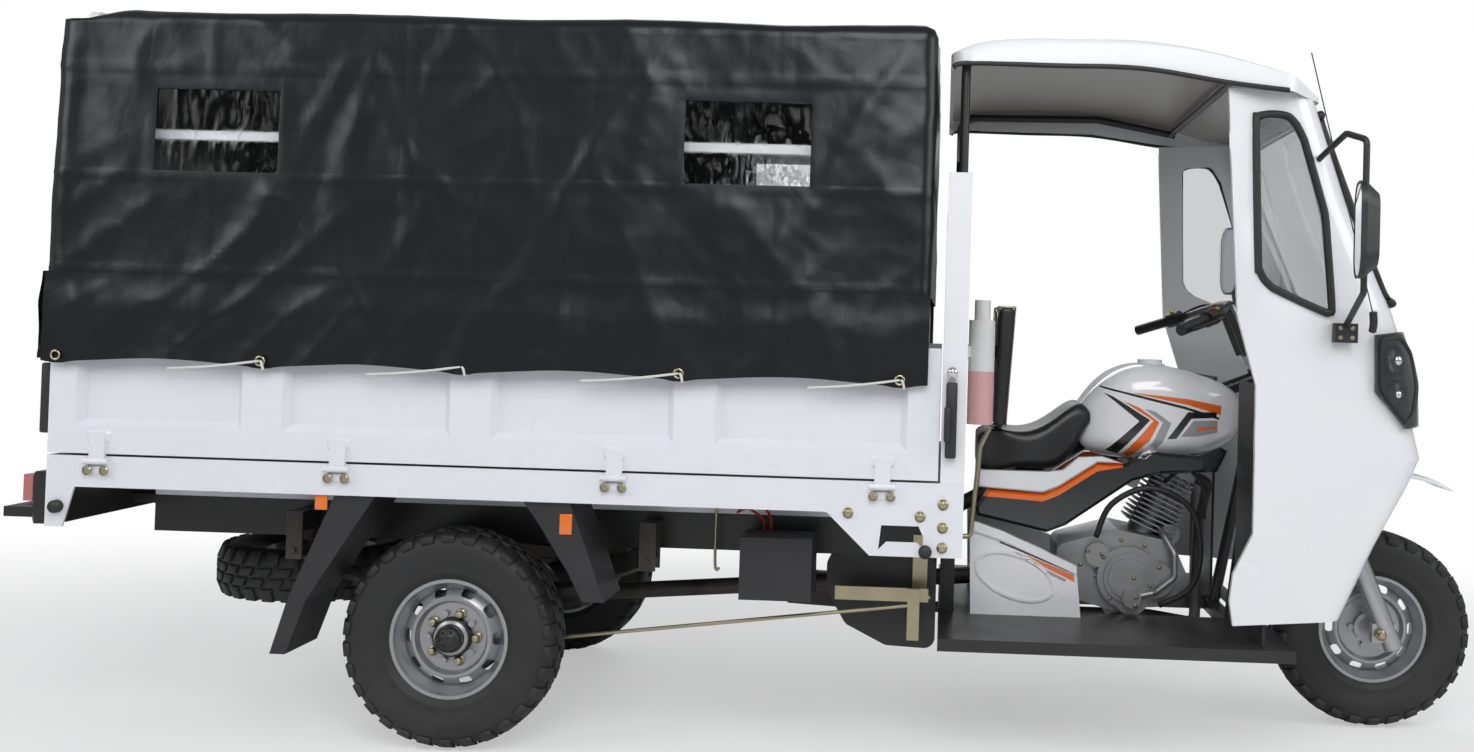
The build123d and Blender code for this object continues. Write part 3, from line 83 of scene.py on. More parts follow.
forward = Vector((sin(YAW) * cos(PITCH), cos(YAW) * cos(PITCH), sin(PITCH)))
level_right = forward.cross(Vector((0, 0, 1))).normalized()
level_up = level_right.cross(forward)
right = level_right * cos(ROLL) + level_up * sin(ROLL)
up = level_up * cos(ROLL) - level_right * sin(ROLL)

camera_data = bpy.data.cameras.new("camera")
camera_data.sensor_width = 36.0
camera_data.lens = FOCAL_PIXELS / PHOTO_WIDTH * camera_data.sensor_width
camera_data.shift_x = (PHOTO_WIDTH / 2 - OPTICAL_CENTRE[0]) / PHOTO_WIDTH
camera_data.shift_y = (OPTICAL_CENTRE[1] - PHOTO_HEIGHT / 2) / PHOTO_WIDTH
camera = bpy.data.objects.new("camera", camera_data)
scene.collection.objects.link(camera)
turn = Matrix((right, up, -forward)).transposed().to_4x4()
camera.matrix_world = Matrix.Translation(Vector((AXLE_X, 0, 0)) + CAMERA_FROM_AXLE) @ turn
scene.camera = camera
scene.view_settings.view_transform = "Standard"

# %% [markdown]
# ## Floor and light
# A studio shot: a pale floor that keeps a soft shadow, a world that lights evenly from all sides, and
# four large soft lamps. What the camera sees behind the object is plain white, which the world's camera
# ray branch gives.

# %% Floor, world and lamps
def shader_tree(owner):
    """An owner's empty node tree."""
    owner.use_nodes = True
    owner.node_tree.nodes.clear()
    return owner.node_tree


def add(tree, kind, **settings):
    """A node of a kind, with plain settings and socket values by name."""
    node = tree.nodes.new(kind)
    for name, value in settings.items():
        if hasattr(node, name):
            setattr(node, name, value)
        else:
            node.inputs[name.replace("_", " ")].default_value = value
    return node


def link(tree, source, target):
    """Joins an output socket to an input socket."""
    tree.links.new(source, target)


def wire(tree, *joints):
    """Joins nodes: each joint names a node and its output, then a node and its input."""
    for source, output, target, entry in joints:
        link(tree, source.outputs[output], target.inputs[entry])


world = bpy.data.worlds.new("studio")
scene.world = world
tree = shader_tree(world)
path = add(tree, "ShaderNodeLightPath")
lit = add(tree, "ShaderNodeBackground", Color=(0.93, 0.96, 1.0, 1.0), Strength=0.36)
seen = add(tree, "ShaderNodeBackground", Color=(1.0, 1.0, 1.0, 1.0), Strength=1.0)
mixed = add(tree, "ShaderNodeMixShader")
wire(tree, (path, "Is Camera Ray", mixed, 0), (lit, 0, mixed, 1), (seen, 0, mixed, 2))
link(tree, mixed.outputs[0], add(tree, "ShaderNodeOutputWorld").inputs[0])

bm = bmesh.new()
bmesh.ops.create_grid(bm, x_segments=1, y_segments=1, size=14.0)
floor_mesh = bpy.data.meshes.new("studio_floor")
bm.to_mesh(floor_mesh)
bm.free()
floor = bpy.data.objects.new("studio_floor", floor_mesh)
scene.collection.objects.link(floor)
FADE_START, FADE_END, SHADOW_LIFT = 1.3, 3.6, 0.45
floor_paint = bpy.data.materials.new("studio_floor")
tree = shader_tree(floor_paint)
matt = add(tree, "ShaderNodeBsdfPrincipled", Base_Color=(0.88, 0.88, 0.88, 1.0), Roughness=0.9)
place = add(tree, "ShaderNodeTexCoord")
shape = add(tree, "ShaderNodeVectorMath", operation="MULTIPLY")
shape.inputs[1].default_value = (0.62, 1.0, 0.0)
away = add(tree, "ShaderNodeVectorMath", operation="LENGTH")
fade = add(tree, "ShaderNodeMapRange", interpolation_type="SMOOTHSTEP", From_Min=FADE_START,
           From_Max=FADE_END, To_Min=SHADOW_LIFT)
backdrop = add(tree, "ShaderNodeEmission", Color=(1.0, 1.0, 1.0, 1.0), Strength=1.0)
blended = add(tree, "ShaderNodeMixShader")
path = add(tree, "ShaderNodeLightPath")
seen_far = add(tree, "ShaderNodeMath", operation="MULTIPLY")
wire(
    tree,
    (place, "Object", shape, 0), (shape, 0, away, 0), (away, "Value", fade, "Value"),
    (fade, 0, seen_far, 0), (path, "Is Camera Ray", seen_far, 1), (seen_far, 0, blended, 0),
    (matt, 0, blended, 1), (backdrop, 0, blended, 2),
)
link(tree, blended.outputs[0], add(tree, "ShaderNodeOutputMaterial").inputs[0])
floor_mesh.materials.append(floor_paint)

LAMPS = [
    # name, place from the rear axle, aim, size, watts
    ("key", (1.6, -4.6, 4.2), (0.7, 0.0, 0.9), 3.0, 150.0),
    ("rear_fill", (-3.6, -3.0, 3.2), (-0.3, 0.0, 0.9), 2.4, 60.0),
    ("front_fill", (5.2, -1.6, 2.6), (2.2, 0.0, 0.9), 2.0, 42.0),
    ("far_fill", (0.8, 4.6, 3.6), (0.8, 0.0, 1.0), 3.0, 60.0),
]
for name, place, aim, size, watts in LAMPS:
    lamp_data = bpy.data.lights.new(name, "AREA")
    lamp_data.size = size
    lamp_data.energy = watts
    lamp = bpy.data.objects.new(name, lamp_data)
    scene.collection.objects.link(lamp)
    start = Vector(place) + Vector((AXLE_X, 0, 0))
    way = Vector(aim) + Vector((AXLE_X, 0, 0)) - start
    lamp.matrix_world = Matrix.Translation(start) @ way.to_track_quat("-Z", "Y").to_matrix().to_4x4()

# %% [markdown]
# ## Surfaces
# Every finish is worked out from the piece's own Object coordinates, so nothing slides when a gate opens
# or a wheel turns. Three effects are shared by most finishes: a fine grain, a soft change of tone, and
# road dust that gathers low down. Each is a node group with named inputs, built once.

# %% Shared node groups
def new_group(name, inputs, outputs):
    """A shader node group with named sockets: inputs as (name, kind, value), outputs as (name, kind)."""
    group = bpy.data.node_groups.new(name, "ShaderNodeTree")
    for label, kind, value in inputs:
        socket = group.interface.new_socket(name=label, in_out="INPUT", socket_type=kind)
        socket.default_value = value
    for label, kind in outputs:
        group.interface.new_socket(name=label, in_out="OUTPUT", socket_type=kind)
    return group, group.nodes.new("NodeGroupInput"), group.nodes.new("NodeGroupOutput")


FLOAT, COLOR, VECTOR = "NodeSocketFloat", "NodeSocketColor", "NodeSocketVector"

grain_group, take, give = new_group(
    "fine_grain",
    [("Vector", VECTOR, (0, 0, 0)), ("Scale", FLOAT, 400.0), ("Stretch", VECTOR, (1, 1, 1))],
    [("Height", FLOAT)],
)
stretch = add(grain_group, "ShaderNodeVectorMath", operation="MULTIPLY")
speckle = add(grain_group, "ShaderNodeTexNoise", Detail=3.0, Roughness=0.6)
wire(
    grain_group,
    (take, "Vector", stretch, 0), (take, "Stretch", stretch, 1), (stretch, 0, speckle, "Vector"),
    (take, "Scale", speckle, "Scale"), (speckle, "Fac", give, "Height"),
)

tone_group, take, give = new_group(
    "soft_tone",
    [
        ("Vector", VECTOR, (0, 0, 0)), ("Light", COLOR, (1, 1, 1, 1)), ("Dark", COLOR, (0, 0, 0, 1)),
        ("Scale", FLOAT, 6.0),
    ],
    [("Color", COLOR), ("Mask", FLOAT)],
)
cloud = add(tone_group, "ShaderNodeTexNoise", Detail=4.0, Roughness=0.55)
blend = add(tone_group, "ShaderNodeMix", data_type="RGBA")
wire(
    tone_group,
    (take, "Vector", cloud, "Vector"), (take, "Scale", cloud, "Scale"),
    (cloud, "Fac", blend, "Factor"), (take, "Light", blend, 6), (take, "Dark", blend, 7),
    (blend, 2, give, "Color"), (cloud, "Fac", give, "Mask"),
)

dust_group, take, give = new_group(
    "road_dust",
    [
        ("Vector", VECTOR, (0, 0, 0)), ("Clean", COLOR, (1, 1, 1, 1)), ("Dust", COLOR, (0.35, 0.31, 0.26, 1)),
        ("Top", FLOAT, 0.7), ("Amount", FLOAT, 0.4),
    ],
    [("Color", COLOR), ("Mask", FLOAT)],
)
split = add(dust_group, "ShaderNodeSeparateXYZ")
fade = add(dust_group, "ShaderNodeMapRange", To_Min=1.0, To_Max=0.0)
patch = add(dust_group, "ShaderNodeTexNoise", Scale=9.0, Detail=5.0, Roughness=0.65)
scatter = add(dust_group, "ShaderNodeMapRange", From_Min=0.38, From_Max=0.72)
both = add(dust_group, "ShaderNodeMath", operation="MULTIPLY")
much = add(dust_group, "ShaderNodeMath", operation="MULTIPLY")
soil = add(dust_group, "ShaderNodeMix", data_type="RGBA")
wire(
    dust_group,
    (take, "Vector", split, 0), (take, "Vector", patch, "Vector"), (split, "Z", fade, "Value"),
    (take, "Top", fade, "From Max"), (patch, "Fac", scatter, "Value"), (fade, 0, both, 0),
    (scatter, 0, both, 1), (both, 0, much, 0), (take, "Amount", much, 1), (much, 0, soil, "Factor"),
    (take, "Clean", soil, 6), (take, "Dust", soil, 7), (soil, 2, give, "Color"),
    (much, 0, give, "Mask"),
)


def use_group(tree, group, **values):
    """A group placed in a material, with its inputs by name."""
    node = tree.nodes.new("ShaderNodeGroup")
    node.node_tree = group
    for name, value in values.items():
        node.inputs[name].default_value = value
    return node


# %% [markdown]
# ## Finishes
# One function makes a hard finish from a few plain facts: its colour and how far it strays, how rough it
# is, how deep its grain is, and how much dust it carries. Paint adds a clear coat; metal sets Metallic to
# one.

# %% Hard finishes
def rgba(colour):
    """A colour with full alpha."""
    return (*colour, 1.0)


def hard_finish(name, colour, second, roughness, grain=400.0, depth=0.02, metallic=0.0, coat=0.0, dust=0.0,
                dust_top=0.75, stretch=(1, 1, 1), tone=6.0, spread=0.12):
    """A procedural material for a rigid surface."""
    material = bpy.data.materials.new(name)
    tree = shader_tree(material)
    place = add(tree, "ShaderNodeTexCoord")
    tint = use_group(tree, tone_group, Light=rgba(colour), Dark=rgba(second), Scale=tone)
    soil = use_group(tree, dust_group, Top=dust_top, Amount=dust)
    fine = use_group(tree, grain_group, Scale=grain, Stretch=stretch)
    for node in (tint, soil, fine):
        link(tree, place.outputs["Object"], node.inputs["Vector"])
    link(tree, tint.outputs["Color"], soil.inputs["Clean"])
    surface = add(tree, "ShaderNodeBsdfPrincipled", Metallic=metallic, Coat_Weight=coat, Coat_Roughness=0.06)
    link(tree, soil.outputs["Color"], surface.inputs["Base Color"])
    rough = add(
        tree, "ShaderNodeMapRange", To_Min=max(roughness - spread, 0.02),
        To_Max=min(roughness + spread, 1.0),
    )
    link(tree, tint.outputs["Mask"], rough.inputs["Value"])
    duller = add(tree, "ShaderNodeMath", operation="ADD")
    wire(tree, (rough, 0, duller, 0), (soil, "Mask", duller, 1), (duller, 0, surface, "Roughness"))
    bump = add(tree, "ShaderNodeBump", Strength=0.35, Distance=depth * 0.001)
    link(tree, fine.outputs["Height"], bump.inputs["Height"])
    link(tree, bump.outputs[0], surface.inputs["Normal"])
    link(tree, surface.outputs[0], add(tree, "ShaderNodeOutputMaterial").inputs[0])
    return material


FINISHES = {
    # name: facts for hard_finish
    "white_paint": dict(
        colour=(0.80, 0.81, 0.83), second=(0.76, 0.77, 0.80), roughness=0.22, grain=260, depth=0.05,
        coat=0.4, dust=0.10,
    ),
    "bed_paint": dict(
        colour=(0.78, 0.79, 0.83), second=(0.73, 0.745, 0.79), roughness=0.30, grain=220, depth=0.08,
        coat=0.25, dust=0.14, dust_top=0.9,
    ),
    "gloss_white": dict(
        colour=(0.83, 0.84, 0.86), second=(0.79, 0.80, 0.83), roughness=0.14, grain=120, depth=0.03,
        coat=0.6, dust=0.06,
    ),
    "black_paint": dict(
        colour=(0.012, 0.012, 0.013), second=(0.024, 0.023, 0.022), roughness=0.34, grain=500,
        depth=0.08, dust=0.05,
    ),
    "black_plastic": dict(
        colour=(0.014, 0.014, 0.016), second=(0.026, 0.026, 0.028), roughness=0.48, grain=900,
        depth=0.25, dust=0.05,
    ),
    "grey_plastic": dict(
        colour=(0.045, 0.046, 0.05), second=(0.06, 0.061, 0.066), roughness=0.42, grain=900, depth=0.2,
        dust=0.1,
    ),
    "rim_paint": dict(
        colour=(0.42, 0.43, 0.45), second=(0.34, 0.345, 0.36), roughness=0.33, grain=300, depth=0.06,
        metallic=0.75, dust=0.2, dust_top=0.5,
    ),
    "cast_alloy": dict(
        colour=(0.40, 0.40, 0.41), second=(0.27, 0.27, 0.275), roughness=0.42, grain=700, depth=0.4,
        metallic=0.85, dust=0.15, tone=14,
    ),
    "fork_alloy": dict(
        colour=(0.55, 0.55, 0.56), second=(0.42, 0.42, 0.43), roughness=0.3, grain=500, depth=0.1,
        metallic=0.8, dust=0.15,
    ),
    "zinc_steel": dict(
        colour=(0.50, 0.44, 0.27), second=(0.38, 0.35, 0.26), roughness=0.32, grain=500, depth=0.1,
        metallic=0.9, dust=0.2, tone=22,
    ),
    "dark_steel": dict(
        colour=(0.035, 0.033, 0.03), second=(0.08, 0.07, 0.06), roughness=0.5, grain=400, depth=0.3,
        metallic=0.5, dust=0.3, tone=18,
    ),
    "tyre_rubber": dict(
        colour=(0.011, 0.011, 0.012), second=(0.019, 0.019, 0.0195), roughness=0.58, grain=350,
        depth=0.35, dust=0.07, dust_top=0.5, tone=10,
    ),
}
finish = {name: hard_finish(name, **facts) for name, facts in FINISHES.items()}

# %% [markdown]
# ## Cloth
# Nylon cloth is nearly black and smooth enough to shine where a fold turns to the light. Its crinkles are
# too fine for the mesh, so they are bump: ridged noise stretched a little downwards, and a fine weave.

# %% Cloth finish
crinkle_group, take, give = new_group(
    "crinkle",
    [("Vector", VECTOR, (0, 0, 0)), ("Scale", FLOAT, 14.0), ("Stretch", VECTOR, (1.0, 1.0, 0.6))],
    [("Height", FLOAT)],
)
stretch = add(crinkle_group, "ShaderNodeVectorMath", operation="MULTIPLY")
warp = add(crinkle_group, "ShaderNodeTexNoise", Scale=5.0, Detail=2.0)
warped = add(crinkle_group, "ShaderNodeVectorMath", operation="MULTIPLY_ADD")
warped.inputs[1].default_value = (0.10, 0.10, 0.10)
fold = add(crinkle_group, "ShaderNodeTexNoise", Detail=3.0, Roughness=0.55)
centre = add(crinkle_group, "ShaderNodeMath", operation="SUBTRACT")
centre.inputs[1].default_value = 0.5
height = add(crinkle_group, "ShaderNodeMath", operation="ABSOLUTE")
wire(
    crinkle_group,
    (take, "Vector", stretch, 0), (take, "Stretch", stretch, 1), (take, "Vector", warp, "Vector"),
    (warp, "Color", warped, 0), (stretch, 0, warped, 2), (warped, 0, fold, "Vector"),
    (take, "Scale", fold, "Scale"), (fold, "Fac", centre, 0), (centre, 0, height, 0),
    (height, 0, give, "Height"),
)


def cloth_finish(name, colour, roughness):
    """Satin nylon cloth with crinkles and a weave."""
    material = bpy.data.materials.new(name)
    tree = shader_tree(material)
    place = add(tree, "ShaderNodeTexCoord")
    fold = use_group(tree, crinkle_group, Scale=5.0)
    fine = use_group(tree, crinkle_group, Scale=22.0)
    weave = use_group(tree, grain_group, Scale=900.0)
    for node in (fold, fine, weave):
        link(tree, place.outputs["Object"], node.inputs["Vector"])
    surface = add(tree, "ShaderNodeBsdfPrincipled", Base_Color=rgba(colour), Roughness=roughness,
                  Specular_IOR_Level=0.42)
    large = add(tree, "ShaderNodeBump", Strength=0.6, Distance=0.009)
    small = add(tree, "ShaderNodeBump", Strength=0.5, Distance=0.0014)
    thread = add(tree, "ShaderNodeBump", Strength=0.25, Distance=0.0002)
    wire(
        tree,
        (fold, "Height", large, "Height"), (fine, "Height", small, "Height"),
        (weave, "Height", thread, "Height"), (large, 0, small, "Normal"),
        (small, 0, thread, "Normal"), (thread, 0, surface, "Normal"),
    )
    link(tree, surface.outputs[0], add(tree, "ShaderNodeOutputMaterial").inputs[0])
    return material


finish["cloth"] = cloth_finish("cloth", (0.0032, 0.0040, 0.0062), 0.33)

# %% [markdown]
# ## Glass
# Clear panes let the view through, so they use plain transmission with a little roughness.

# %% Glass and clear plastic
def clear_finish(name, colour, roughness, grain, depth, crinkled_before=None):
    """Thin clear glass or plastic, faintly uneven, and crinkled where x is before a given place."""
    material = bpy.data.materials.new(name)
    tree = shader_tree(material)
    place = add(tree, "ShaderNodeTexCoord")
    wavy = use_group(tree, grain_group, Scale=grain)
    link(tree, place.outputs["Object"], wavy.inputs["Vector"])
    surface = add(tree, "ShaderNodeBsdfPrincipled", Base_Color=rgba(colour), Roughness=roughness, IOR=1.3,
                  Transmission_Weight=1.0, Alpha=0.35)
    bump = add(tree, "ShaderNodeBump", Strength=0.3, Distance=depth * 0.001)
    link(tree, wavy.outputs["Height"], bump.inputs["Height"])
    if crinkled_before is not None:
        split = add(tree, "ShaderNodeSeparateXYZ")
        soft = add(tree, "ShaderNodeMath", operation="LESS_THAN")
        soft.inputs[1].default_value = crinkled_before
        fold = use_group(tree, crinkle_group, Scale=7.0, Stretch=(1.5, 1.0, 0.5))
        deep = add(tree, "ShaderNodeMath", operation="MULTIPLY")
        creased = add(tree, "ShaderNodeBump", Strength=1.0, Distance=0.05)
        wire(
            tree,
            (place, "Object", split, 0), (place, "Object", fold, "Vector"), (split, "X", soft, 0),
            (soft, 0, deep, 0), (fold, "Height", deep, 1), (deep, 0, creased, "Height"),
            (creased, 0, bump, "Normal"),
        )
    link(tree, bump.outputs[0], surface.inputs["Normal"])
    link(tree, surface.outputs[0], add(tree, "ShaderNodeOutputMaterial").inputs[0])
    return material


finish["glass"] = clear_finish("glass", (0.97, 0.98, 0.98), 0.03, 4.0, 0.2, AXLE_X + 1.2)
finish["lamp_glass"] = clear_finish("lamp_glass", (0.95, 0.96, 0.97), 0.08, 60.0, 0.5)

# %% Finishes for small pieces
SMALL_FINISHES = {
    # name: facts for hard_finish
    "brass": dict(colour=(0.62, 0.55, 0.36), second=(0.5, 0.44, 0.28), roughness=0.25, metallic=1.0),
    "chrome": dict(
        colour=(0.72, 0.72, 0.73), second=(0.66, 0.66, 0.67), roughness=0.10, metallic=1.0, spread=0.04
    ),
    "rope": dict(colour=(0.72, 0.72, 0.70), second=(0.58, 0.58, 0.56), roughness=0.8, grain=700, depth=0.5),
    "amber": dict(
        colour=(0.85, 0.20, 0.02), second=(0.70, 0.14, 0.01), roughness=0.18, grain=260, depth=0.4,
        coat=0.5,
    ),
    "gasket": dict(
        colour=(0.010, 0.010, 0.011), second=(0.018, 0.018, 0.019), roughness=0.5, grain=600, depth=0.1
    ),
    "leather": dict(
        colour=(0.013, 0.013, 0.014), second=(0.020, 0.020, 0.021), roughness=0.40, grain=330,
        depth=0.35,
    ),
    "orange_film": dict(
        colour=(0.84, 0.16, 0.02), second=(0.80, 0.14, 0.02), roughness=0.22, coat=0.5, grain=120
    ),
    "black_film": dict(
        colour=(0.012, 0.012, 0.013), second=(0.016, 0.016, 0.017), roughness=0.22, coat=0.5, grain=120
    ),
    "grey_film": dict(
        colour=(0.34, 0.35, 0.37), second=(0.31, 0.32, 0.34), roughness=0.22, coat=0.5, grain=120
    ),
    "red_plastic": dict(colour=(0.55, 0.02, 0.015), second=(0.45, 0.02, 0.012), roughness=0.35),
    "yellow_plastic": dict(colour=(0.75, 0.45, 0.02), second=(0.68, 0.40, 0.02), roughness=0.35),
    "mirror_glass": dict(
        colour=(0.80, 0.82, 0.84), second=(0.78, 0.80, 0.82), roughness=0.04, metallic=1.0, spread=0.02
    ),
}
finish.update({name: hard_finish(name, **facts) for name, facts in SMALL_FINISHES.items()})

# %% [markdown]
# ## Dressing the ready parts
# A table says which finish each ready part wears.

# %% Finishes on the frame's parts
WEARS = {
    "white_paint": ["bulkhead", "cab_shell", "cab_roof", "cover_frame"],
    "bed_paint": ["bed_frame", "side_right", "side_left", "tailgate"],
    "gloss_white": ["fuel_tank", "front_fender", "body_panels"],
    "black_paint": [
        "chassis_frame", "footboard", "rear_bumper", "rear_axle", "cab_frame", "bed_floor", "handlebar"
    ],
    "black_plastic": ["side_boxes", "mud_flaps", "front_wall", "mirrors"],
    "leather": ["saddle", "backrest"],
    "rim_paint": ["rim_front", "rim_rear_left", "rim_rear_right", "spare_rim"],
    "cast_alloy": ["engine"],
    "fork_alloy": ["fork"],
    "zinc_steel": ["brake_linkage"],
    "dark_steel": ["exhaust", "leaf_springs", "propeller_shaft"],
    "tyre_rubber": ["tyre_front", "tyre_rear_left", "tyre_rear_right", "spare_tyre"],
    "cloth": ["cover", "skirt_right", "skirt_left", "skirt_rear"],
    "glass": ["window_panes", "coolant_bottle"],
    "lamp_glass": ["lamps"],
}
for name, wearers in WEARS.items():
    for wearer in wearers:
        node = nodes[wearer]
        for material_slot in node.material_slots:
            material_slot.material = finish[name]

# %% [markdown]
# ## Helpers for new pieces
# Each new piece is a mesh at the origin whose vertices stand at their real place, so its Object
# coordinates are the vehicle's own. A piece on a moving body rides with it.


def new_piece(name, bm, material, body=None, smooth=True):
    """A mesh object from a bmesh, with one material, riding on a body where one is named."""
    mesh = bpy.data.meshes.new(name)
    bm.to_mesh(mesh)
    bm.free()
    piece = bpy.data.objects.new(name, mesh)
    scene.collection.objects.link(piece)
    mesh.materials.append(material)
    for face in mesh.polygons:
        face.use_smooth = smooth
    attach(piece, body or "chassis")
    return piece


def from_axle(x, y, z):
    """A point given by its distance from the rear axle along the vehicle."""
    return Vector((AXLE_X + x, y, z))


def smooth_step(low, high, value):
    """Zero below low, one above high, smooth between."""
    share = min(max((value - low) / (high - low), 0.0), 1.0)
    return share * share * (3 - 2 * share)


# %% [markdown]
# ## The cloth cover
# The cover is black nylon cloth over four bows. It is pulled down by eyelets on buttons, so folds fan out
# from the tops of the bows, the cloth sags between them, and the creases of its packing still show as
# thin lines. One function gives the push of the cloth at every point of a side, so the folds run on from
# the upper cover into the skirts, which go down with the drop sides.

# %% How the cloth stands at each point
BOW_XS = [-0.988, -0.233, 0.527, 1.150]
EYELET_XS = [-1.002, -0.472, 0.044, 0.595, 1.150]
FOLD_LINES = [1.740, 1.462, 1.215]
SEAM_XS = [-0.640, -0.120, 0.330, 0.840]
SPLIT_Z = 1.200
SHOULDER_Z = 1.852
cover_low, cover_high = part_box("cover")
print("cover", [round(v, 3) for v in (*cover_low, *cover_high)])


def ridged(point):
    """Sharp-crested noise between zero and one, for folds."""
    return (1.0 - abs(noise.noise(point))) ** 3


def thin_line(distance, width):
    """One on a line, falling to zero within a width or two."""
    return 1.0 / (1.0 + (distance / width) ** 4)


def side_push(x, z, side):
    """How far a side of the cloth stands out from its flat place, at x from the rear axle and height z."""
    place = Vector((x, z, 7.3 * side))
    fall = SHOULDER_Z - z
    push = 0.0
    for number, bow_x in enumerate(BOW_XS):
        for lean in (-0.55, -0.12, 0.34):
            drift = 0.03 * noise.noise(Vector((z * 3.1, number * 5.7, lean * 9 + side)))
            line_x = bow_x + lean * fall + drift
            strength = 0.45 + 0.55 * noise.noise(Vector((number * 3.3, lean * 11, side * 2.1)))
            width = 0.016 + 0.05 * fall
            push += 0.0095 * strength * smooth_step(0.0, 0.12, fall) * thin_line(x - line_x, width)
    push += 0.0100 * (ridged(Vector((x * 2.3 + z * 1.6, z * 1.1 - x * 0.4, side * 3.0))) - 0.45)
    push += 0.0055 * (ridged(Vector((x * 5.1 - z * 3.8, z * 3.4, side * 5.0 + 2))) - 0.45)
    push += 0.0020 * (ridged(Vector((x * 11.0 + z * 4.0, z * 10.0, side * 4.0 + 6))) - 0.45)
    push += 0.0008 * noise.noise(Vector((x * 34.0, z * 34.0, side * 2.0)))
    for line_z in FOLD_LINES:
        wander = 0.004 * noise.noise(Vector((x * 3.0, line_z * 4.0, side)))
        push += 0.0022 * thin_line(z - line_z - wander, 0.005)
    for line_x in SEAM_XS:
        wander = 0.005 * noise.noise(Vector((line_x * 6.0, z * 2.5, side)))
        push += 0.0016 * thin_line(x - line_x - wander, 0.005)
    return push


def pane_distance(x, z):
    """How far a point of a side lies from the nearest clear pane's edge, below zero inside it."""
    return min(max(start - x, x - stop, PANE_LOW - z, z - PANE_HIGH) for start, stop in PANES)


def calm_near_windows(x, z):
    """Zero at a clear pane and its seam, one in the open cloth."""
    return smooth_step(0.004, 0.06, pane_distance(x, z))


PANE_LOW, PANE_HIGH = 1.472, 1.684
PANES = [(-0.781, -0.459), (0.586, 0.908)]

# %% [markdown]
# The upper cover starts as a box. Its edges are rounded with a bevel, its floor is taken off, and its
# faces are cut into a fine even grid. Then each vertex is set by the rules above.

# %% Upper cover
def cloth_box(low, high, edge, step):
    """An open-bottomed box with rounded upper edges, cut into an even grid of about one step."""
    bm = bmesh.new()
    bmesh.ops.create_cube(bm, size=1.0)
    size = high - low
    bmesh.ops.scale(bm, vec=size, verts=bm.verts)
    bmesh.ops.translate(bm, vec=(low + high) / 2, verts=bm.verts)
    floor_faces = [f for f in bm.faces if f.normal.z < -0.9]
    bmesh.ops.delete(bm, geom=floor_faces, context="FACES_ONLY")
    upper = [e for e in bm.edges if e.calc_length() > 0 and max(v.co.z for v in e.verts) > high.z - 0.001]
    bmesh.ops.bevel(bm, geom=upper, offset=edge, offset_type="OFFSET", segments=2, profile=0.5,
                    affect="EDGES", material=-1, clamp_overlap=True)
    for axis in range(3):
        along = [e for e in bm.edges if abs((e.verts[1].co - e.verts[0].co).normalized()[axis]) > 0.99]
        longest = max(e.calc_length() for e in along)
        picked = [e for e in along if e.calc_length() > longest * 0.6]
        bmesh.ops.subdivide_edges(bm, edges=picked, cuts=int(longest / step), use_grid_fill=True)
    return bm


CLOTH_STEP = 0.014
TAPER, BAY_HALF = 0.024, 0.38
ROOF_SAG, ROOF_CROWN, REAR_DROP = 0.010, 0.014, 0.032
box_low = Vector((cover_low.x, cover_low.y, SPLIT_Z))
box_high = Vector((cover_high.x, cover_high.y, cover_high.z - ROOF_CROWN))
bm = cloth_box(box_low, box_high, 0.034, CLOTH_STEP)
for start, stop in PANES:
    for x in (start, stop):
        geom = bm.verts[:] + bm.edges[:] + bm.faces[:]
        bmesh.ops.bisect_plane(bm, geom=geom, plane_co=from_axle(x, 0, 0), plane_no=(1, 0, 0), dist=1e-5)
for z in (PANE_LOW, PANE_HIGH):
    geom = bm.verts[:] + bm.edges[:] + bm.faces[:]
    bmesh.ops.bisect_plane(bm, geom=geom, plane_co=(0, 0, z), plane_no=(0, 0, 1), dist=1e-5)


def in_pane(point):
    """Whether a point of a side lies within a clear pane."""
    x = point.x - AXLE_X
    return abs(point.y) > 0.5 and PANE_LOW < point.z < PANE_HIGH and any(a < x < b for a, b in PANES)


bmesh.ops.delete(bm, geom=[f for f in bm.faces if in_pane(f.calc_center_median())], context="FACES")
half_width = cover_high.y
for vert in bm.verts:
    x, y, z = vert.co.x - AXLE_X, vert.co.y, vert.co.z
    rise = min((z - SPLIT_Z) / (SHOULDER_Z - SPLIT_Z), 1.0)
    side = 1 if y > 0 else -1
    on_side = smooth_step(half_width - 0.05, half_width - 0.012, abs(y))
    on_roof = smooth_step(cover_high.z - 0.055, cover_high.z - 0.02, z)
    on_end = max(
        smooth_step(0.03, 0.004, reach) for reach in (vert.co.x - cover_low.x, cover_high.x - vert.co.x)
    )
    border = 0.0014 * thin_line(pane_distance(x, z) - 0.012, 0.010)
    push = (side_push(x, z, side) * calm_near_windows(x, z) + border) * on_side
    bay = min(abs(x - bow_x) for bow_x in BOW_XS) / BAY_HALF
    sag = ROOF_SAG * smooth_step(0.0, 1.0, bay) * (1 - (y / half_width) ** 2 * 0.4)
    crown = ROOF_CROWN * (1 - (y / half_width) ** 2)
    rear_drop = REAR_DROP * smooth_step(-0.86, -1.05, x)
    roof_wave = 0.0045 * noise.noise(Vector((x * 3.0, y * 3.0, 4.0)))
    roof_wave += 0.002 * ridged(Vector((x * 7.0, y * 6.0, 1.0)))
    end_push = 0.006 * (ridged(Vector((y * 3.0 + z * 2.0, z * 2.0 - y, 9.0))) - 0.5)
    vert.co.y = y * (1 - TAPER * rise / half_width) + side * push
    vert.co.z += on_roof * (crown - sag - rear_drop + roof_wave * 0.5) - 0.004 * on_roof
    vert.co.x += (1 if x > 0 else -1) * on_end * (1 - on_side) * end_push
print("cover cloth", len(bm.faces), "faces")
cloth_cover = new_piece("cloth_cover", bm, finish["cloth"])
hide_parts("cover")

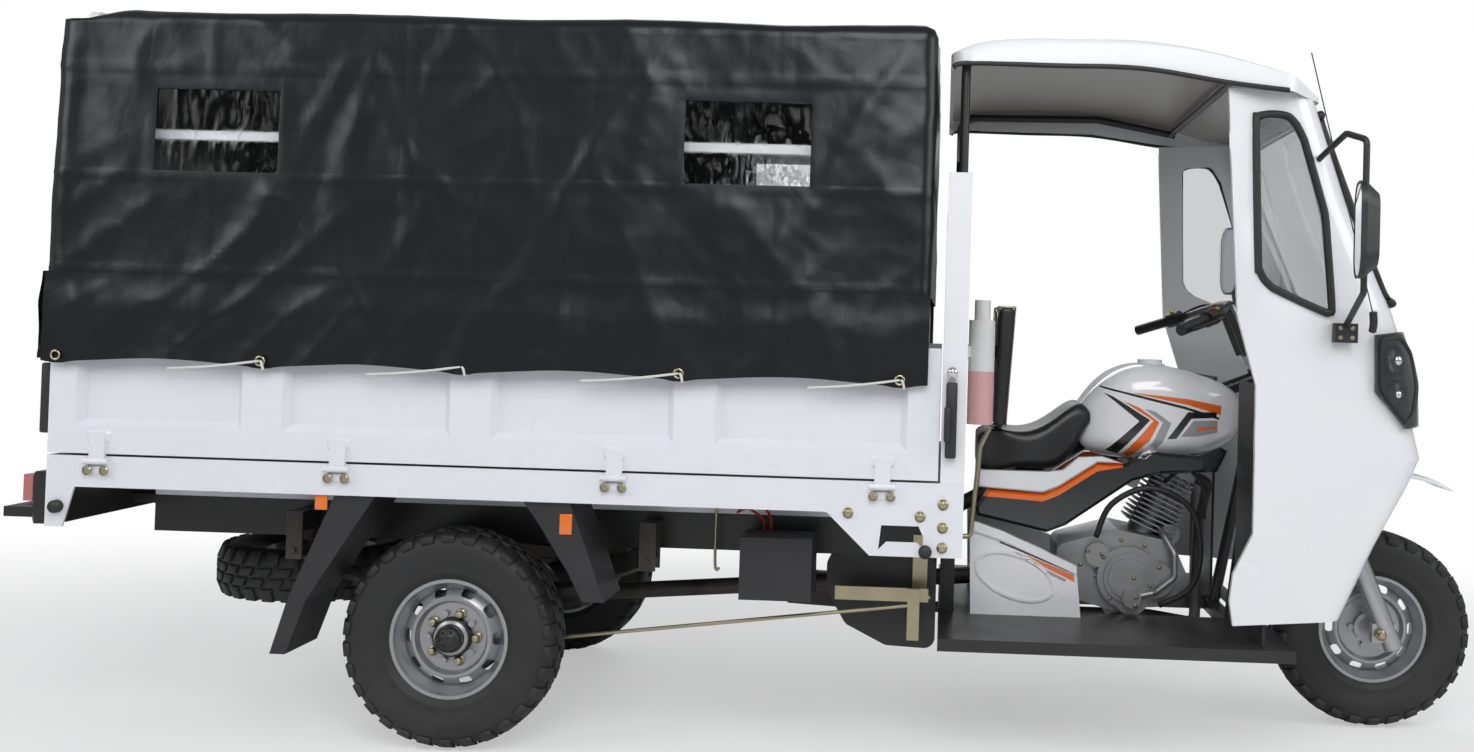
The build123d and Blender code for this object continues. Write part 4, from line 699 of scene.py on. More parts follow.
# %% [markdown]
# The skirts hang outside the drop sides and the gate, from their own overlap under the cover's edge down
# to a hem that rises a little between its eyelets.

# %% Skirts
HEM_Z = 0.978


def hem_height(x, places):
    """The hem's height: low at each eyelet, a little higher between them."""
    near = min(abs(x - place) for place in places)
    return HEM_Z + 0.012 * smooth_step(0.0, 0.26, near) - 0.006 * thin_line(near, 0.03)


def skirt(name, node, body, across, places):
    """A skirt as a thin sheet over its CAD plate; across is 0 where it runs along x and 1 along y."""
    low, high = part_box(node)
    length, height = (high - low)[across], high.z - low.z
    columns, rows = int(length / CLOTH_STEP), max(int(height / CLOTH_STEP), 4)
    face = low[1 - across] if (low + high)[1 - across] < 0 else high[1 - across]
    out = -1 if face < 0 else 1
    bm = bmesh.new()
    bmesh.ops.create_grid(bm, x_segments=columns, y_segments=rows, size=0.5)
    for vert in bm.verts:
        along = low[across] + (vert.co.x + 0.5) * length
        x = along - AXLE_X if across == 0 else along
        z = HEM_Z + (vert.co.y + 0.5) * (SPLIT_Z + 0.006 - HEM_Z)
        share = (z - HEM_Z) / (SPLIT_Z - HEM_Z)
        z = z + (hem_height(x, places) - HEM_Z) * (1 - share)
        push = side_push(x, z, out) if across == 0 else side_push(along * 1.3 + 4, z, out)
        push -= 0.0016 * thin_line(z - hem_height(x, places) - 0.030, 0.0035)
        place = Vector((0, 0, z))
        place[across] = along
        place[1 - across] = face + out * (push * 1.1 + 0.001 - 0.009 * smooth_step(0.6, 1.0, share))
        vert.co = place
    piece = new_piece(name, bm, finish["cloth"], body)
    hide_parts(node)


skirt("cloth_skirt_right", "skirt_right", "drop_side_right", 0, EYELET_XS)
skirt("cloth_skirt_left", "skirt_left", "drop_side_left", 0, EYELET_XS)
skirt("cloth_skirt_rear", "skirt_rear", "rear_gate", 1, [-0.56, 0.0, 0.56])

# %% [markdown]
# ## Tyres
# A tyre is a profile spun round its axle, then chunky blocks in four rows: two rows on the shoulders that
# lap down the side walls, and two rows along the middle, each half a pitch from its neighbour. The blocks
# reach the same radius as the frame's plain tyre, so the wheel stands on the floor.

# %% Tyre mesh
TYRE_RADIUS = 0.284
LUGS = 30
TYRE_SECTION = [
    # radius, distance from the middle plane
    (0.152, 0.046), (0.158, 0.054), (0.170, 0.0595), (0.174, 0.0625), (0.178, 0.0615), (0.198, 0.0695),
    (0.222, 0.0725), (0.244, 0.0700), (0.260, 0.0635), (0.270, 0.0530), (0.2755, 0.0360), (0.2762, 0.0),
]


def add_block(bm, corners, bevel):
    """A six-sided block from its four lower and four upper corners, with small bevels."""
    verts = [bm.verts.new(corner) for corner in corners]
    rings = [(0, 1, 2, 3), (7, 6, 5, 4), (0, 4, 5, 1), (1, 5, 6, 2), (2, 6, 7, 3), (3, 7, 4, 0)]
    faces = [bm.faces.new([verts[i] for i in ring]) for ring in rings]
    edges = list({edge for face in faces for edge in face.edges})
    bmesh.ops.bevel(bm, geom=edges, offset=bevel, offset_type="OFFSET", segments=1, profile=0.5,
                    affect="EDGES", material=-1, clamp_overlap=True)


def wheel_point(angle, radius, across):
    """A point of a wheel whose axle lies along y through the origin."""
    return Vector((radius * sin(angle), across, radius * cos(angle)))


def tyre_mesh():
    """One tyre with its axle along y at the origin."""
    bm = bmesh.new()
    right = [Vector((0, -y, r)) for r, y in TYRE_SECTION]
    left = [Vector((0, y, r)) for r, y in reversed(TYRE_SECTION[:-1])]
    ring = [bm.verts.new(point) for point in right + left]
    edges = [bm.edges.new(pair) for pair in zip(ring, ring[1:])]
    bmesh.ops.spin(
        bm, geom=ring + edges, cent=(0, 0, 0), axis=(0, 1, 0), angle=2 * pi, steps=96, use_merge=True
    )
    pitch = 2 * pi / LUGS
    for number in range(LUGS):
        for side in (-1, 1):
            start = number * pitch + (0.25 if side > 0 else 0.0) * pitch
            rows = [
                # inner edge, outer edge, share of the pitch, skew, inner foot radius, outer foot radius
                (0.0030, 0.0270, 0.74, 0.16 * side, 0.272, 0.272),
                (0.0330, 0.0655, 0.62, 0.0, 0.270, 0.252),
            ]
            for row, (near, far, share, skew, near_foot, far_foot) in enumerate(rows):
                middle_angle = start + row * pitch / 2
                half = share * pitch / 2
                far_top = TYRE_RADIUS - (0.001 if row == 0 else 0.0145)
                edge = side * (far + (0.004 if row else 0))
                corners = []
                for radius_near, radius_far in ((near_foot, far_foot), (TYRE_RADIUS - 0.0005, far_top)):
                    corners += [
                        wheel_point(middle_angle - half, radius_near, side * near),
                        wheel_point(middle_angle + half, radius_near, side * near),
                        wheel_point(middle_angle + half + skew * pitch, radius_far, edge),
                        wheel_point(middle_angle - half + skew * pitch, radius_far, edge),
                    ]
                add_block(bm, corners, 0.0014)
    bmesh.ops.recalc_face_normals(bm, faces=bm.faces)
    return bm


TYRES = {
    # piece: node, body, whether it lies flat
    "tread_rear_right": ("tyre_rear_right", "rear_wheel_right", False),
    "tread_rear_left": ("tyre_rear_left", "rear_wheel_left", False),
    "tread_front": ("tyre_front", "front_wheel", False),
    "tread_spare": ("spare_tyre", "chassis", True),
}
for name, (node, body, flat) in TYRES.items():
    bm = tyre_mesh()
    turn = Matrix.Rotation(radians(90), 4, "X") if flat else Matrix.Rotation(radians(5), 4, "Y")
    bmesh.ops.transform(bm, matrix=Matrix.Translation(middle(node)) @ turn, verts=bm.verts)
    tyre = new_piece(name, bm, finish["tyre_rubber"], body)
    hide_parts(node)
print("tyres done")

# %% [markdown]
# ## Small hardware
# Bolts, tubes and plates are made by three short helpers, and each group of like pieces is one object.

# %% Helpers for hardware
def frame_at(place, normal):
    """A matrix that puts a piece made along z at a place, facing along normal."""
    return Matrix.Translation(place) @ Vector(normal).to_track_quat("Z", "Y").to_matrix().to_4x4()


def add_bolt(bm, place, normal, radius, height=None):
    """A hexagon bolt head on a washer, with a chamfered top."""
    height = height or radius * 0.8
    matrix = frame_at(place, normal)
    bmesh.ops.create_cone(bm, cap_ends=True, segments=20, radius1=radius * 1.45, radius2=radius * 1.45,
                          depth=radius * 0.25, matrix=matrix @ Matrix.Translation((0, 0, radius * 0.125)))
    bmesh.ops.create_cone(bm, cap_ends=True, segments=6, radius1=radius, radius2=radius, depth=height,
                          matrix=matrix @ Matrix.Translation((0, 0, radius * 0.25 + height / 2)))
    bmesh.ops.create_cone(bm, cap_ends=True, segments=6, radius1=radius, radius2=radius * 0.8,
                          depth=height * 0.15,
                          matrix=matrix @ Matrix.Translation((0, 0, radius * 0.25 + height * 1.075)))


def add_disc(bm, place, normal, radius, height, segments=32):
    """A flat round disc."""
    matrix = frame_at(place, normal) @ Matrix.Translation((0, 0, height / 2))
    bmesh.ops.create_cone(bm, cap_ends=True, segments=segments, radius1=radius, radius2=radius * 0.94,
                          depth=height, matrix=matrix)


def add_plate(bm, low, high, bevel=0.002):
    """A box between two corners with small bevels."""
    verts = bmesh.ops.create_cube(bm, size=1.0)["verts"]
    low, high = Vector(low), Vector(high)
    bmesh.ops.scale(bm, vec=high - low, verts=verts)
    bmesh.ops.translate(bm, vec=(low + high) / 2, verts=verts)
    edges = list({edge for vert in verts for edge in vert.link_edges})
    bmesh.ops.bevel(bm, geom=edges, offset=bevel, offset_type="OFFSET", segments=2, profile=0.5,
                    affect="EDGES", material=-1, clamp_overlap=True)


def add_tube(bm, points, radius, sides=12, closed=False):
    """A round tube through points, smoothed with a few extra points between them."""
    points = [Vector(p) for p in points]
    count = len(points)
    path = []
    spans = count if closed else count - 1
    for i in range(spans):
        if closed:
            before, start, end, after = (points[(i + k) % count] for k in (-1, 0, 1, 2))
        else:
            before, start = points[max(i - 1, 0)], points[i]
            end, after = points[i + 1], points[min(i + 2, count - 1)]
        for step in range(6):
            t = step / 6
            path.append(
                0.5 * (2 * start + (end - before) * t + (2 * before - 5 * start + 4 * end - after) * t * t
                       + (3 * start - before - 3 * end + after) * t * t * t)
            )
    if not closed:
        path.append(points[-1])
    rings = []
    side_way = None
    for i, place in enumerate(path):
        ahead = path[(i + 1) % len(path)] if closed or i + 1 < len(path) else place
        behind = path[i - 1] if closed or i > 0 else place
        along = (ahead - behind).normalized()
        if side_way is None:
            side_way = along.orthogonal().normalized()
        side_way = (side_way - along * side_way.dot(along)).normalized()
        other = along.cross(side_way)
        angles = [2 * pi * k / sides for k in range(sides)]
        rings.append([bm.verts.new(place + (side_way * cos(a) + other * sin(a)) * radius) for a in angles])
    pairs = list(zip(rings, rings[1:] + (rings[:1] if closed else [])))
    for first, second in pairs if closed else pairs[:len(rings) - 1]:
        for k in range(sides):
            bm.faces.new((first[k], first[(k + 1) % sides], second[(k + 1) % sides], second[k]))
    if not closed:
        bm.faces.new(rings[0][::-1])
        bm.faces.new(rings[-1])


def add_run(bm, places, radius, sides=12):
    """A tube through points given from the rear axle."""
    add_tube(bm, [from_axle(*place) for place in places], radius, sides)


def side_name(side):
    """The word for a side of the vehicle, where y is minus on the right."""
    return "right" if side < 0 else "left"


# %% [markdown]
# ## Eyelets and ropes
# Each eyelet of the hem is a brass ring. A white rope runs from a hook under the hem to the next eyelet,
# and pulls the cloth down.

# %% Eyelets and ropes
HOOK_XS = [-0.713, -0.199, 0.347, 0.919]
ROPE_RADIUS = 0.0032
for side, body in ((-1, "drop_side_right"), (1, "drop_side_left")):
    rings, ropes = bmesh.new(), bmesh.new()
    slack = Vector((0, side * 0.003, -0.003))
    edge = side * (abs(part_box("skirt_right")[0].y) + 0.006)
    for x in EYELET_XS:
        place = from_axle(x, edge, HEM_Z + 0.014)
        circle = [place + Vector((0.011 * cos(a * pi / 4), 0, 0.011 * sin(a * pi / 4))) for a in range(8)]
        add_tube(rings, circle, 0.0028, closed=True)
    for hook_x, eyelet_x in zip(HOOK_XS, EYELET_XS[1:]):
        start = from_axle(hook_x, edge - side * 0.004, HEM_Z - 0.012)
        end = from_axle(eyelet_x, edge + side * 0.004, HEM_Z + 0.014)
        span = end - start
        add_tube(ropes, [start, start + span * 0.33 + slack, start + span * 0.66 + slack, end], ROPE_RADIUS)
        tail = [(0.004, 0, 0.0), (0.009, side * 0.004, -0.006), (0.012, side * 0.002, -0.022)]
        add_tube(ropes, [end + Vector(place) for place in tail], ROPE_RADIUS)
    new_piece(f"eyelets_{body}", rings, finish["brass"], body)
    new_piece(f"ropes_{body}", ropes, finish["rope"], body)

# %% [markdown]
# ## Finding a surface
# Gaskets and films lie on curved panels, so their points are found by sending a ray at the ready part,
# straight in from the side or from the front.

# %% Rays on the frame's parts
def surface_of(*names):
    """A search tree over the faces of some frame parts."""
    verts, faces = [], []
    for name in names:
        mesh = nodes[name].data
        start = len(verts)
        verts += [vert.co.copy() for vert in mesh.vertices]
        faces += [[start + index for index in face.vertices] for face in mesh.polygons]
    return BVHTree.FromPolygons(verts, faces)


def from_side(tree, x, z, side, lift=0.0):
    """The outermost point of a surface at x from the rear axle and height z, seen from one side."""
    hit, normal, _, _ = tree.ray_cast(from_axle(x, side * 1.2, z), Vector((0, -side, 0)))
    if hit is None:
        return None
    normal = normal if normal.y * side > 0 else -normal
    return hit + normal * lift


def from_front(tree, y, z, lift=0.0):
    """The foremost point of a surface at y and z."""
    hit, normal, _, _ = tree.ray_cast(from_axle(3.2, y, z), Vector((-1, 0, 0)))
    return None if hit is None else hit + (normal if normal.x > 0 else -normal) * lift


def eased(outline, cut):
    """An outline with each corner replaced by three points, for a rounded loop."""
    points = [Vector(p) for p in outline]
    loop = []
    for before, corner, after in zip([points[-1], *points[:-1]], points, [*points[1:], points[0]]):
        first = corner + (before - corner).normalized() * min(cut, (before - corner).length / 2.2)
        last = corner + (after - corner).normalized() * min(cut, (after - corner).length / 2.2)
        loop += [first, (first + last) * 0.25 + corner * 0.5, last]
    return loop


def grown(outline, amount):
    """An outline moved outwards from its middle."""
    centre = sum(outline, Vector((0, 0))) / len(outline)
    return [point + (point - centre).normalized() * amount for point in outline]


# %% [markdown]
# ## Bolts and latches of the bed

# %% Bed hardware
HINGE_XS = [-0.898, -0.274, 0.435, 1.113]
POST_BOLTS = [(1.267, 0.682), (1.267, 0.624), (1.267, 0.574), (1.029, 0.654), (1.210, 0.650)]
RUBBER_STOPS = [(-1.001, 0.604), (1.225, 0.563)]
BED_HALF, HINGE_BOLT_Z, LATCH_X = 0.660, 0.699, 1.283
bed = surface_of("bed_frame", "bulkhead")


def side_plate(bm, side, x_span, y_span, z_span, bevel):
    """A plate on one side of the bed, with y measured outwards from the bed's side."""
    low = from_axle(x_span[0], side * (BED_HALF + y_span[0]), z_span[0])
    add_plate(bm, low, from_axle(x_span[1], side * (BED_HALF + y_span[1]), z_span[1]), bevel)


for side in (-1, 1):
    bolts = bmesh.new()
    for x in HINGE_XS:
        for ahead in (-0.022, 0.022):
            add_bolt(bolts, from_side(bed, x + ahead, HINGE_BOLT_Z, side), (0, side, 0), 0.0085, 0.0008)
    for x, z in POST_BOLTS:
        add_bolt(bolts, from_side(bed, x, z, side), (0, side, 0), 0.0095)
    new_piece("bed_bolts_" + side_name(side), bolts, finish["zinc_steel"])
    rubber = bmesh.new()
    for x, z in RUBBER_STOPS:
        add_disc(rubber, from_side(bed, x, z, side), (0, side, 0), 0.017, 0.016)
    side_plate(rubber, side, (LATCH_X - 0.016, LATCH_X + 0.012), (0.001, 0.024), (0.80, 0.99), 0.005)
    side_plate(rubber, side, (LATCH_X - 0.020, LATCH_X - 0.002), (0.020, 0.034), (0.84, 0.93), 0.006)
    new_piece("latches_" + side_name(side), rubber, finish["black_plastic"])
    rear_latch = bmesh.new()
    side_plate(rear_latch, side, (-1.058, -1.0325), (-0.020, 0.0), (0.79, 0.97), 0.005)
    new_piece(
        "rear_latch_" + side_name(side), rear_latch, finish["black_plastic"],
        "drop_side_" + side_name(side),
    )
    chrome = bmesh.new()
    add_disc(chrome, from_axle(LATCH_X - 0.002, side * (BED_HALF + 0.006), 1.015), (0, side, 0), 0.013, 0.020)
    side_plate(chrome, side, (LATCH_X - 0.010, LATCH_X + 0.006), (0.004, 0.014), (0.975, 1.01), 0.003)
    new_piece("latch_heads_" + side_name(side), chrome, finish["chrome"])

# %% Reflectors
REFLECTORS = [(-0.318, 0.642), (0.313, 0.600)]
flap_low, flap_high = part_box("mud_flaps")
flap_outer = max(abs(flap_low.y), abs(flap_high.y)) - BED_HALF
for side in (-1, 1):
    bm = bmesh.new()
    for x, z in REFLECTORS:
        side_plate(
            bm, side, (x - 0.016, x + 0.016), (flap_outer - 0.001, flap_outer + 0.005),
            (z - 0.026, z + 0.026), 0.002,
        )
    new_piece("reflectors_" + side_name(side), bm, finish["amber"])

# %% [markdown]
# ## Wheel centres
# Each rear wheel has a black hub with a stepped cap and small bolts, and five zinc nuts round it.

# %% Hub caps and nuts
STEPS = [
    # distance from the wheel's middle, radius, depth
    (0.016, 0.052, 0.019), (0.034, 0.038, 0.012), (0.044, 0.033, 0.0215),
]
CAP_BOLT_RING, WHEEL_NUT_RING = 0.024, 0.063
for out in (-1, 1):
    centre = middle("tyre_rear_" + side_name(out))
    body = "rear_wheel_" + side_name(out)
    bm = bmesh.new()
    for reach, wide, deep in STEPS:
        add_disc(bm, centre + Vector((0, out * reach, 0)), (0, out, 0), wide, deep, 40)
    for turn in range(6):
        angle = turn * pi / 3
        spot = Vector((CAP_BOLT_RING * cos(angle), out * 0.0656, CAP_BOLT_RING * sin(angle)))
        add_bolt(bm, centre + spot, (0, out, 0), 0.0035)
    new_piece("hub_rear_" + side_name(out), bm, finish["black_paint"], body)
    nuts = bmesh.new()
    for turn in range(5):
        angle = 2 * pi * turn / 5
        spot = Vector((WHEEL_NUT_RING * cos(angle), out * 0.0165, -WHEEL_NUT_RING * sin(angle)))
        add_bolt(nuts, centre + spot, (0, out, 0), 0.0102, 0.0155)
    new_piece("nuts_rear_" + side_name(out), nuts, finish["zinc_steel"], body)

# %% [markdown]
# ## Cab: gaskets, seals and lamps

# %% Window gaskets and the roof's seal
DOOR_WINDOW = [
    (2.046, 1.690), (2.138, 1.694), (2.172, 1.640), (2.230, 1.440), (2.256, 1.194), (2.088, 1.264),
    (2.060, 1.300),
]
SCREEN = [(-0.430, 1.225), (0.430, 1.225), (0.455, 1.715), (-0.455, 1.715)]
shell = surface_of("cab_shell")
gaskets = bmesh.new()
for side in (-1, 1):
    loop = [from_side(shell, x, z, side, 0.002) for x, z in grown(eased(DOOR_WINDOW, 0.03), 0.009)]
    add_tube(gaskets, [p for p in loop if p], 0.0105, closed=True)
loop = [from_front(shell, y, z, 0.002) for y, z in grown(eased(SCREEN, 0.07), 0.009)]
add_tube(gaskets, [p for p in loop if p], 0.010, closed=True)
ROOF_EDGE = [(1.262, 1.794), (1.300, 1.806), (1.520, 1.8045), (1.744, 1.802), (1.962, 1.772), (2.120, 1.757)]
for side in (-1, 1):
    add_run(gaskets, [(x, side * (0.600 - max(0.0, x - 1.9) * 0.05), z) for x, z in ROOF_EDGE], 0.0065)
new_piece("gaskets", gaskets, finish["gasket"])

# %% Headlamps
LAMP_EDGE = [
    (2.392, 1.134), (2.456, 1.140), (2.512, 1.088), (2.524, 1.010), (2.508, 0.930), (2.484, 0.905),
    (2.398, 0.995),
]
BOWLS = [
    # x from the rear axle, z, radius
    (2.452, 1.075, 0.036), (2.455, 0.985, 0.030),
]
lens = surface_of("lamps")
bezel, bowls, bulbs = bmesh.new(), bmesh.new(), bmesh.new()
for side in (-1, 1):
    rim_loop = [from_side(lens, x, z, side, 0.001) for x, z in grown(eased(LAMP_EDGE, 0.02), -0.004)]
    add_tube(bezel, [p for p in rim_loop if p], 0.0055, closed=True)
    for x, z, radius in BOWLS:
        face_point = from_side(lens, x, z, side)
        outward = (from_side(lens, x, z, side, 1.0) - face_point).normalized()
        seat = face_point - outward * 0.021
        add_disc(bezel, seat, outward, radius + 0.007, 0.010)
        add_disc(bowls, seat + outward * 0.010, outward, radius, 0.004)
        bmesh.ops.create_uvsphere(bulbs, u_segments=20, v_segments=12, radius=radius * 0.42,
                                  matrix=Matrix.Translation(seat + outward * 0.013))
new_piece("lamp_bezels", bezel, finish["gasket"])
new_piece("lamp_bowls", bowls, finish["chrome"])
new_piece("lamp_bulbs", bulbs, finish["chrome"])

# %% Mirror glasses
def rounded_rect(width, height, radius, steps=8):
    """Corner points of a rounded rectangle about the origin, in order."""
    points = []
    for number, (sx, sy) in enumerate(((1, 1), (-1, 1), (-1, -1), (1, -1))):
        for step in range(steps + 1):
            angle = (number + step / steps) * pi / 2
            across = sx * (width / 2 - radius) + radius * cos(angle)
            points.append((across, sy * (height / 2 - radius) + radius * sin(angle)))
    return points


MIRROR_TURN = radians(10)
MIRROR_X, MIRROR_Y, MIRROR_Z = 2.252, 0.748, 1.392
GLASS_WIDTH, GLASS_HEIGHT, GLASS_CORNER = 0.136, 0.222, 0.051
for side in (-1, 1):
    bm = bmesh.new()
    across = Vector((sin(MIRROR_TURN), -side * cos(MIRROR_TURN), 0))
    back = Vector((-cos(MIRROR_TURN), side * -sin(MIRROR_TURN), 0))
    centre = from_axle(MIRROR_X, side * MIRROR_Y, MIRROR_Z) - back * 0.0045
    outline = rounded_rect(GLASS_WIDTH, GLASS_HEIGHT, GLASS_CORNER)
    ring = [bm.verts.new(centre + across * u + Vector((0, 0, v))) for u, v in outline]
    face = bm.faces.new(ring)
    made = bmesh.ops.extrude_face_region(bm, geom=[face])
    lifted = [item for item in made["geom"] if isinstance(item, bmesh.types.BMVert)]
    bmesh.ops.translate(bm, vec=back * 0.003, verts=lifted)
    bmesh.ops.recalc_face_normals(bm, faces=bm.faces)
    new_piece("mirror_glass_" + side_name(side), bm, finish["mirror_glass"], smooth=False)

# %% Antenna and bracket bolts
ANTENNA = [(2.345, -0.585, 1.190), (2.300, -0.590, 1.36), (2.232, -0.60, 1.61), (2.168, -0.61, 1.850)]
ANTENNA_FOOT = [(2.352, -0.560, 1.150), (2.350, -0.575, 1.168), (2.345, -0.585, 1.196)]
bm = bmesh.new()
add_run(bm, ANTENNA, 0.0016, 8)
add_run(bm, ANTENNA_FOOT, 0.010)
new_piece("antenna", bm, finish["gasket"])
BRACKET_BOLTS = [(x, z) for x in (2.276, 2.306) for z in (1.130, 1.155)]
bm = bmesh.new()
for side in (-1, 1):
    for x, z in BRACKET_BOLTS:
        add_bolt(bm, from_axle(x, side * 0.546, z), (0, side, 0), 0.004)
new_piece("bracket_bolts", bm, finish["zinc_steel"])

# %% [markdown]
# ## Stripes
# The tank and the fairings carry bands of coloured film. Each band is a flat outline in side view, cut
# into small pieces and laid on the panel by rays, a fraction of a millimetre proud.

# %% Films on the tank and fairings
TANK_FILMS = [
    # finish, outline as (x from the rear axle, z)
    ("black_film", [
        (1.715, 0.972), (1.820, 0.950), (1.950, 0.922), (2.050, 0.892), (2.050, 0.886), (1.950, 0.914),
        (1.820, 0.943), (1.715, 0.967),
    ]),
    ("orange_film", [
        (1.800, 0.957), (1.880, 0.950), (1.960, 0.943), (2.055, 0.926), (2.055, 0.900), (1.960, 0.926),
        (1.880, 0.941),
    ]),
    ("black_film", [
        (1.722, 0.954), (1.822, 0.876), (1.732, 0.788), (1.766, 0.780), (1.852, 0.880), (1.749, 0.943),
    ]),
    ("orange_film", [
        (1.775, 0.932), (1.862, 0.879), (1.780, 0.778), (1.800, 0.770), (1.853, 0.821), (1.878, 0.875),
        (1.821, 0.915),
    ]),
    ("grey_film", [
        (1.835, 0.912), (1.888, 0.875), (1.862, 0.817), (1.815, 0.772), (1.838, 0.772), (1.888, 0.814),
        (1.912, 0.873), (1.866, 0.905),
    ]),
    ("black_film", [
        (1.902, 0.828), (1.958, 0.906), (2.042, 0.908), (2.042, 0.892), (1.968, 0.888), (1.928, 0.830),
    ]),
    ("grey_film", [(1.940, 0.836), (1.975, 0.882), (2.045, 0.884), (2.045, 0.850), (1.985, 0.838)]),
    ("orange_film", [(1.985, 0.852), (2.042, 0.860), (2.042, 0.868), (1.988, 0.861)]),
]
COVER_FILMS = [
    ("black_film", [(1.430, 0.532), (1.640, 0.452), (1.641, 0.447), (1.430, 0.527)]),
    ("orange_film", [(1.500, 0.498), (1.640, 0.443), (1.643, 0.424), (1.560, 0.462)]),
    ("grey_film", [
        (1.470, 0.505), (1.500, 0.494), (1.560, 0.458), (1.620, 0.430), (1.615, 0.424), (1.552, 0.452),
    ]),
]


def lay_film(bm, outline, surface, side, lift, step=0.012):
    """An outline in side view, cut into a fine mesh and laid on a surface."""
    flat = bmesh.new()
    flat.faces.new([flat.verts.new((x, 0, z)) for x, z in outline])
    for axis in (0, 2):
        values = [point[0] if axis == 0 else point[1] for point in outline]
        normal = Vector((1, 0, 0)) if axis == 0 else Vector((0, 0, 1))
        cut = min(values) + step
        while cut < max(values):
            geom = flat.verts[:] + flat.edges[:] + flat.faces[:]
            bmesh.ops.bisect_plane(flat, geom=geom, plane_co=normal * cut, plane_no=normal, dist=1e-6)
            cut += step
    bmesh.ops.triangulate(flat, faces=flat.faces)
    places = {vert: from_side(surface, vert.co.x, vert.co.z, side, lift) for vert in flat.verts}
    made = {vert: bm.verts.new(place) for vert, place in places.items() if place is not None}
    for face in flat.faces:
        if all(vert in made for vert in face.verts):
            bm.faces.new([made[vert] for vert in face.verts])
    flat.free()


tank = surface_of("fuel_tank", "body_panels")
for group, films in (("tank", TANK_FILMS), ("cover", COVER_FILMS)):
    for kind in ("black_film", "orange_film", "grey_film"):
        bm = bmesh.new()
        for place, (film, outline) in enumerate(films):
            if film == kind:
                for side in (-1, 1):
                    lay_film(bm, outline, tank, side, 0.0005 + 0.0001 * place)
        new_piece(f"{group}_{kind}", bm, finish[kind])

# %% [markdown]
# ## Fairing paint
# The fairing's dark lower panel and the orange stripe along its bend follow one curve. A Float Curve
# gives the height of that bend at each distance along the vehicle, and two comparisons with it colour the
# panel.

# %% Fairing finish
BEND = [
    (1.36, 0.679), (1.55, 0.6665), (1.575, 0.676), (1.597, 0.6865), (1.702, 0.7565), (1.78, 0.772),
    (2.08, 0.840),
]
BEND_X = (1.34, 2.10)
BEND_Z = (0.60, 0.90)
DARK_HALF, STRIPE_WIDTH, STRIPE_FRONT = 0.2085, 0.024, 1.775
DARK_COLOUR, STRIPE_COLOUR = (0.020, 0.021, 0.023), (0.84, 0.16, 0.02)


def share_of(value, span):
    """Where a value lies between the ends of a span, from zero to one."""
    return (value - span[0]) / (span[1] - span[0])


def fairing_finish():
    """White gloss with a dark panel below the bend and an orange stripe along it."""
    material = hard_finish(
        "fairing", (0.83, 0.84, 0.86), (0.80, 0.81, 0.84), 0.15, grain=120, depth=0.03, coat=0.6,
        dust=0.06,
    )
    tree = material.node_tree
    surface = next(node for node in tree.nodes if node.type == "BSDF_PRINCIPLED")
    base = surface.inputs["Base Color"].links[0].from_socket
    place = add(tree, "ShaderNodeTexCoord")
    split = add(tree, "ShaderNodeSeparateXYZ")
    link(tree, place.outputs["Object"], split.inputs[0])
    along = add(tree, "ShaderNodeMapRange", From_Min=AXLE_X + BEND_X[0], From_Max=AXLE_X + BEND_X[1])
    curve = add(tree, "ShaderNodeFloatCurve")
    line = curve.mapping.curves[0]
    line.points[0].location = (0.0, share_of(BEND[0][1], BEND_Z))
    line.points[1].location = (1.0, share_of(BEND[-1][1], BEND_Z))
    for x, z in BEND[1:-1]:
        line.points.new(share_of(x, BEND_X), share_of(z, BEND_Z))
    for point in line.points:
        point.handle_type = "VECTOR"
    curve.mapping.update()
    height = add(tree, "ShaderNodeMapRange", To_Min=BEND_Z[0], To_Max=BEND_Z[1])
    below = add(tree, "ShaderNodeMath", operation="SUBTRACT")
    flank = add(tree, "ShaderNodeMath", operation="ABSOLUTE")
    inner = add(tree, "ShaderNodeMath", operation="LESS_THAN")
    inner.inputs[1].default_value = DARK_HALF
    dark = add(tree, "ShaderNodeMath", operation="GREATER_THAN")
    dark.inputs[1].default_value = -0.002
    dark_here = add(tree, "ShaderNodeMath", operation="MULTIPLY")
    stripe = add(tree, "ShaderNodeMath", operation="LESS_THAN")
    stripe.inputs[1].default_value = STRIPE_WIDTH
    before = add(tree, "ShaderNodeMath", operation="LESS_THAN")
    before.inputs[1].default_value = AXLE_X + STRIPE_FRONT
    stripe_here = add(tree, "ShaderNodeMath", operation="MULTIPLY")
    panel = add(tree, "ShaderNodeMix", data_type="RGBA")
    panel.inputs[6].default_value = rgba(DARK_COLOUR)
    panel.inputs[7].default_value = rgba(STRIPE_COLOUR)
    coat = add(tree, "ShaderNodeMix", data_type="RGBA")
    wire(
        tree,
        (split, "X", along, "Value"), (along, 0, curve, "Value"), (curve, 0, height, "Value"),
        (height, 0, below, 0), (split, "Z", below, 1), (split, "Y", flank, 0), (flank, 0, inner, 0),
        (below, 0, dark, 0), (inner, 0, dark_here, 0), (dark, 0, dark_here, 1),
        (below, 0, stripe, 0), (split, "X", before, 0), (stripe, 0, stripe_here, 0),
        (before, 0, stripe_here, 1), (stripe_here, 0, panel, "Factor"),
        (dark_here, 0, coat, "Factor"),
    )
    link(tree, base, coat.inputs[6])
    link(tree, panel.outputs[2], coat.inputs[7])
    link(tree, coat.outputs[2], surface.inputs["Base Color"])
    return material


for material_slot in nodes["body_panels"].material_slots:
    material_slot.material = fairing_finish()
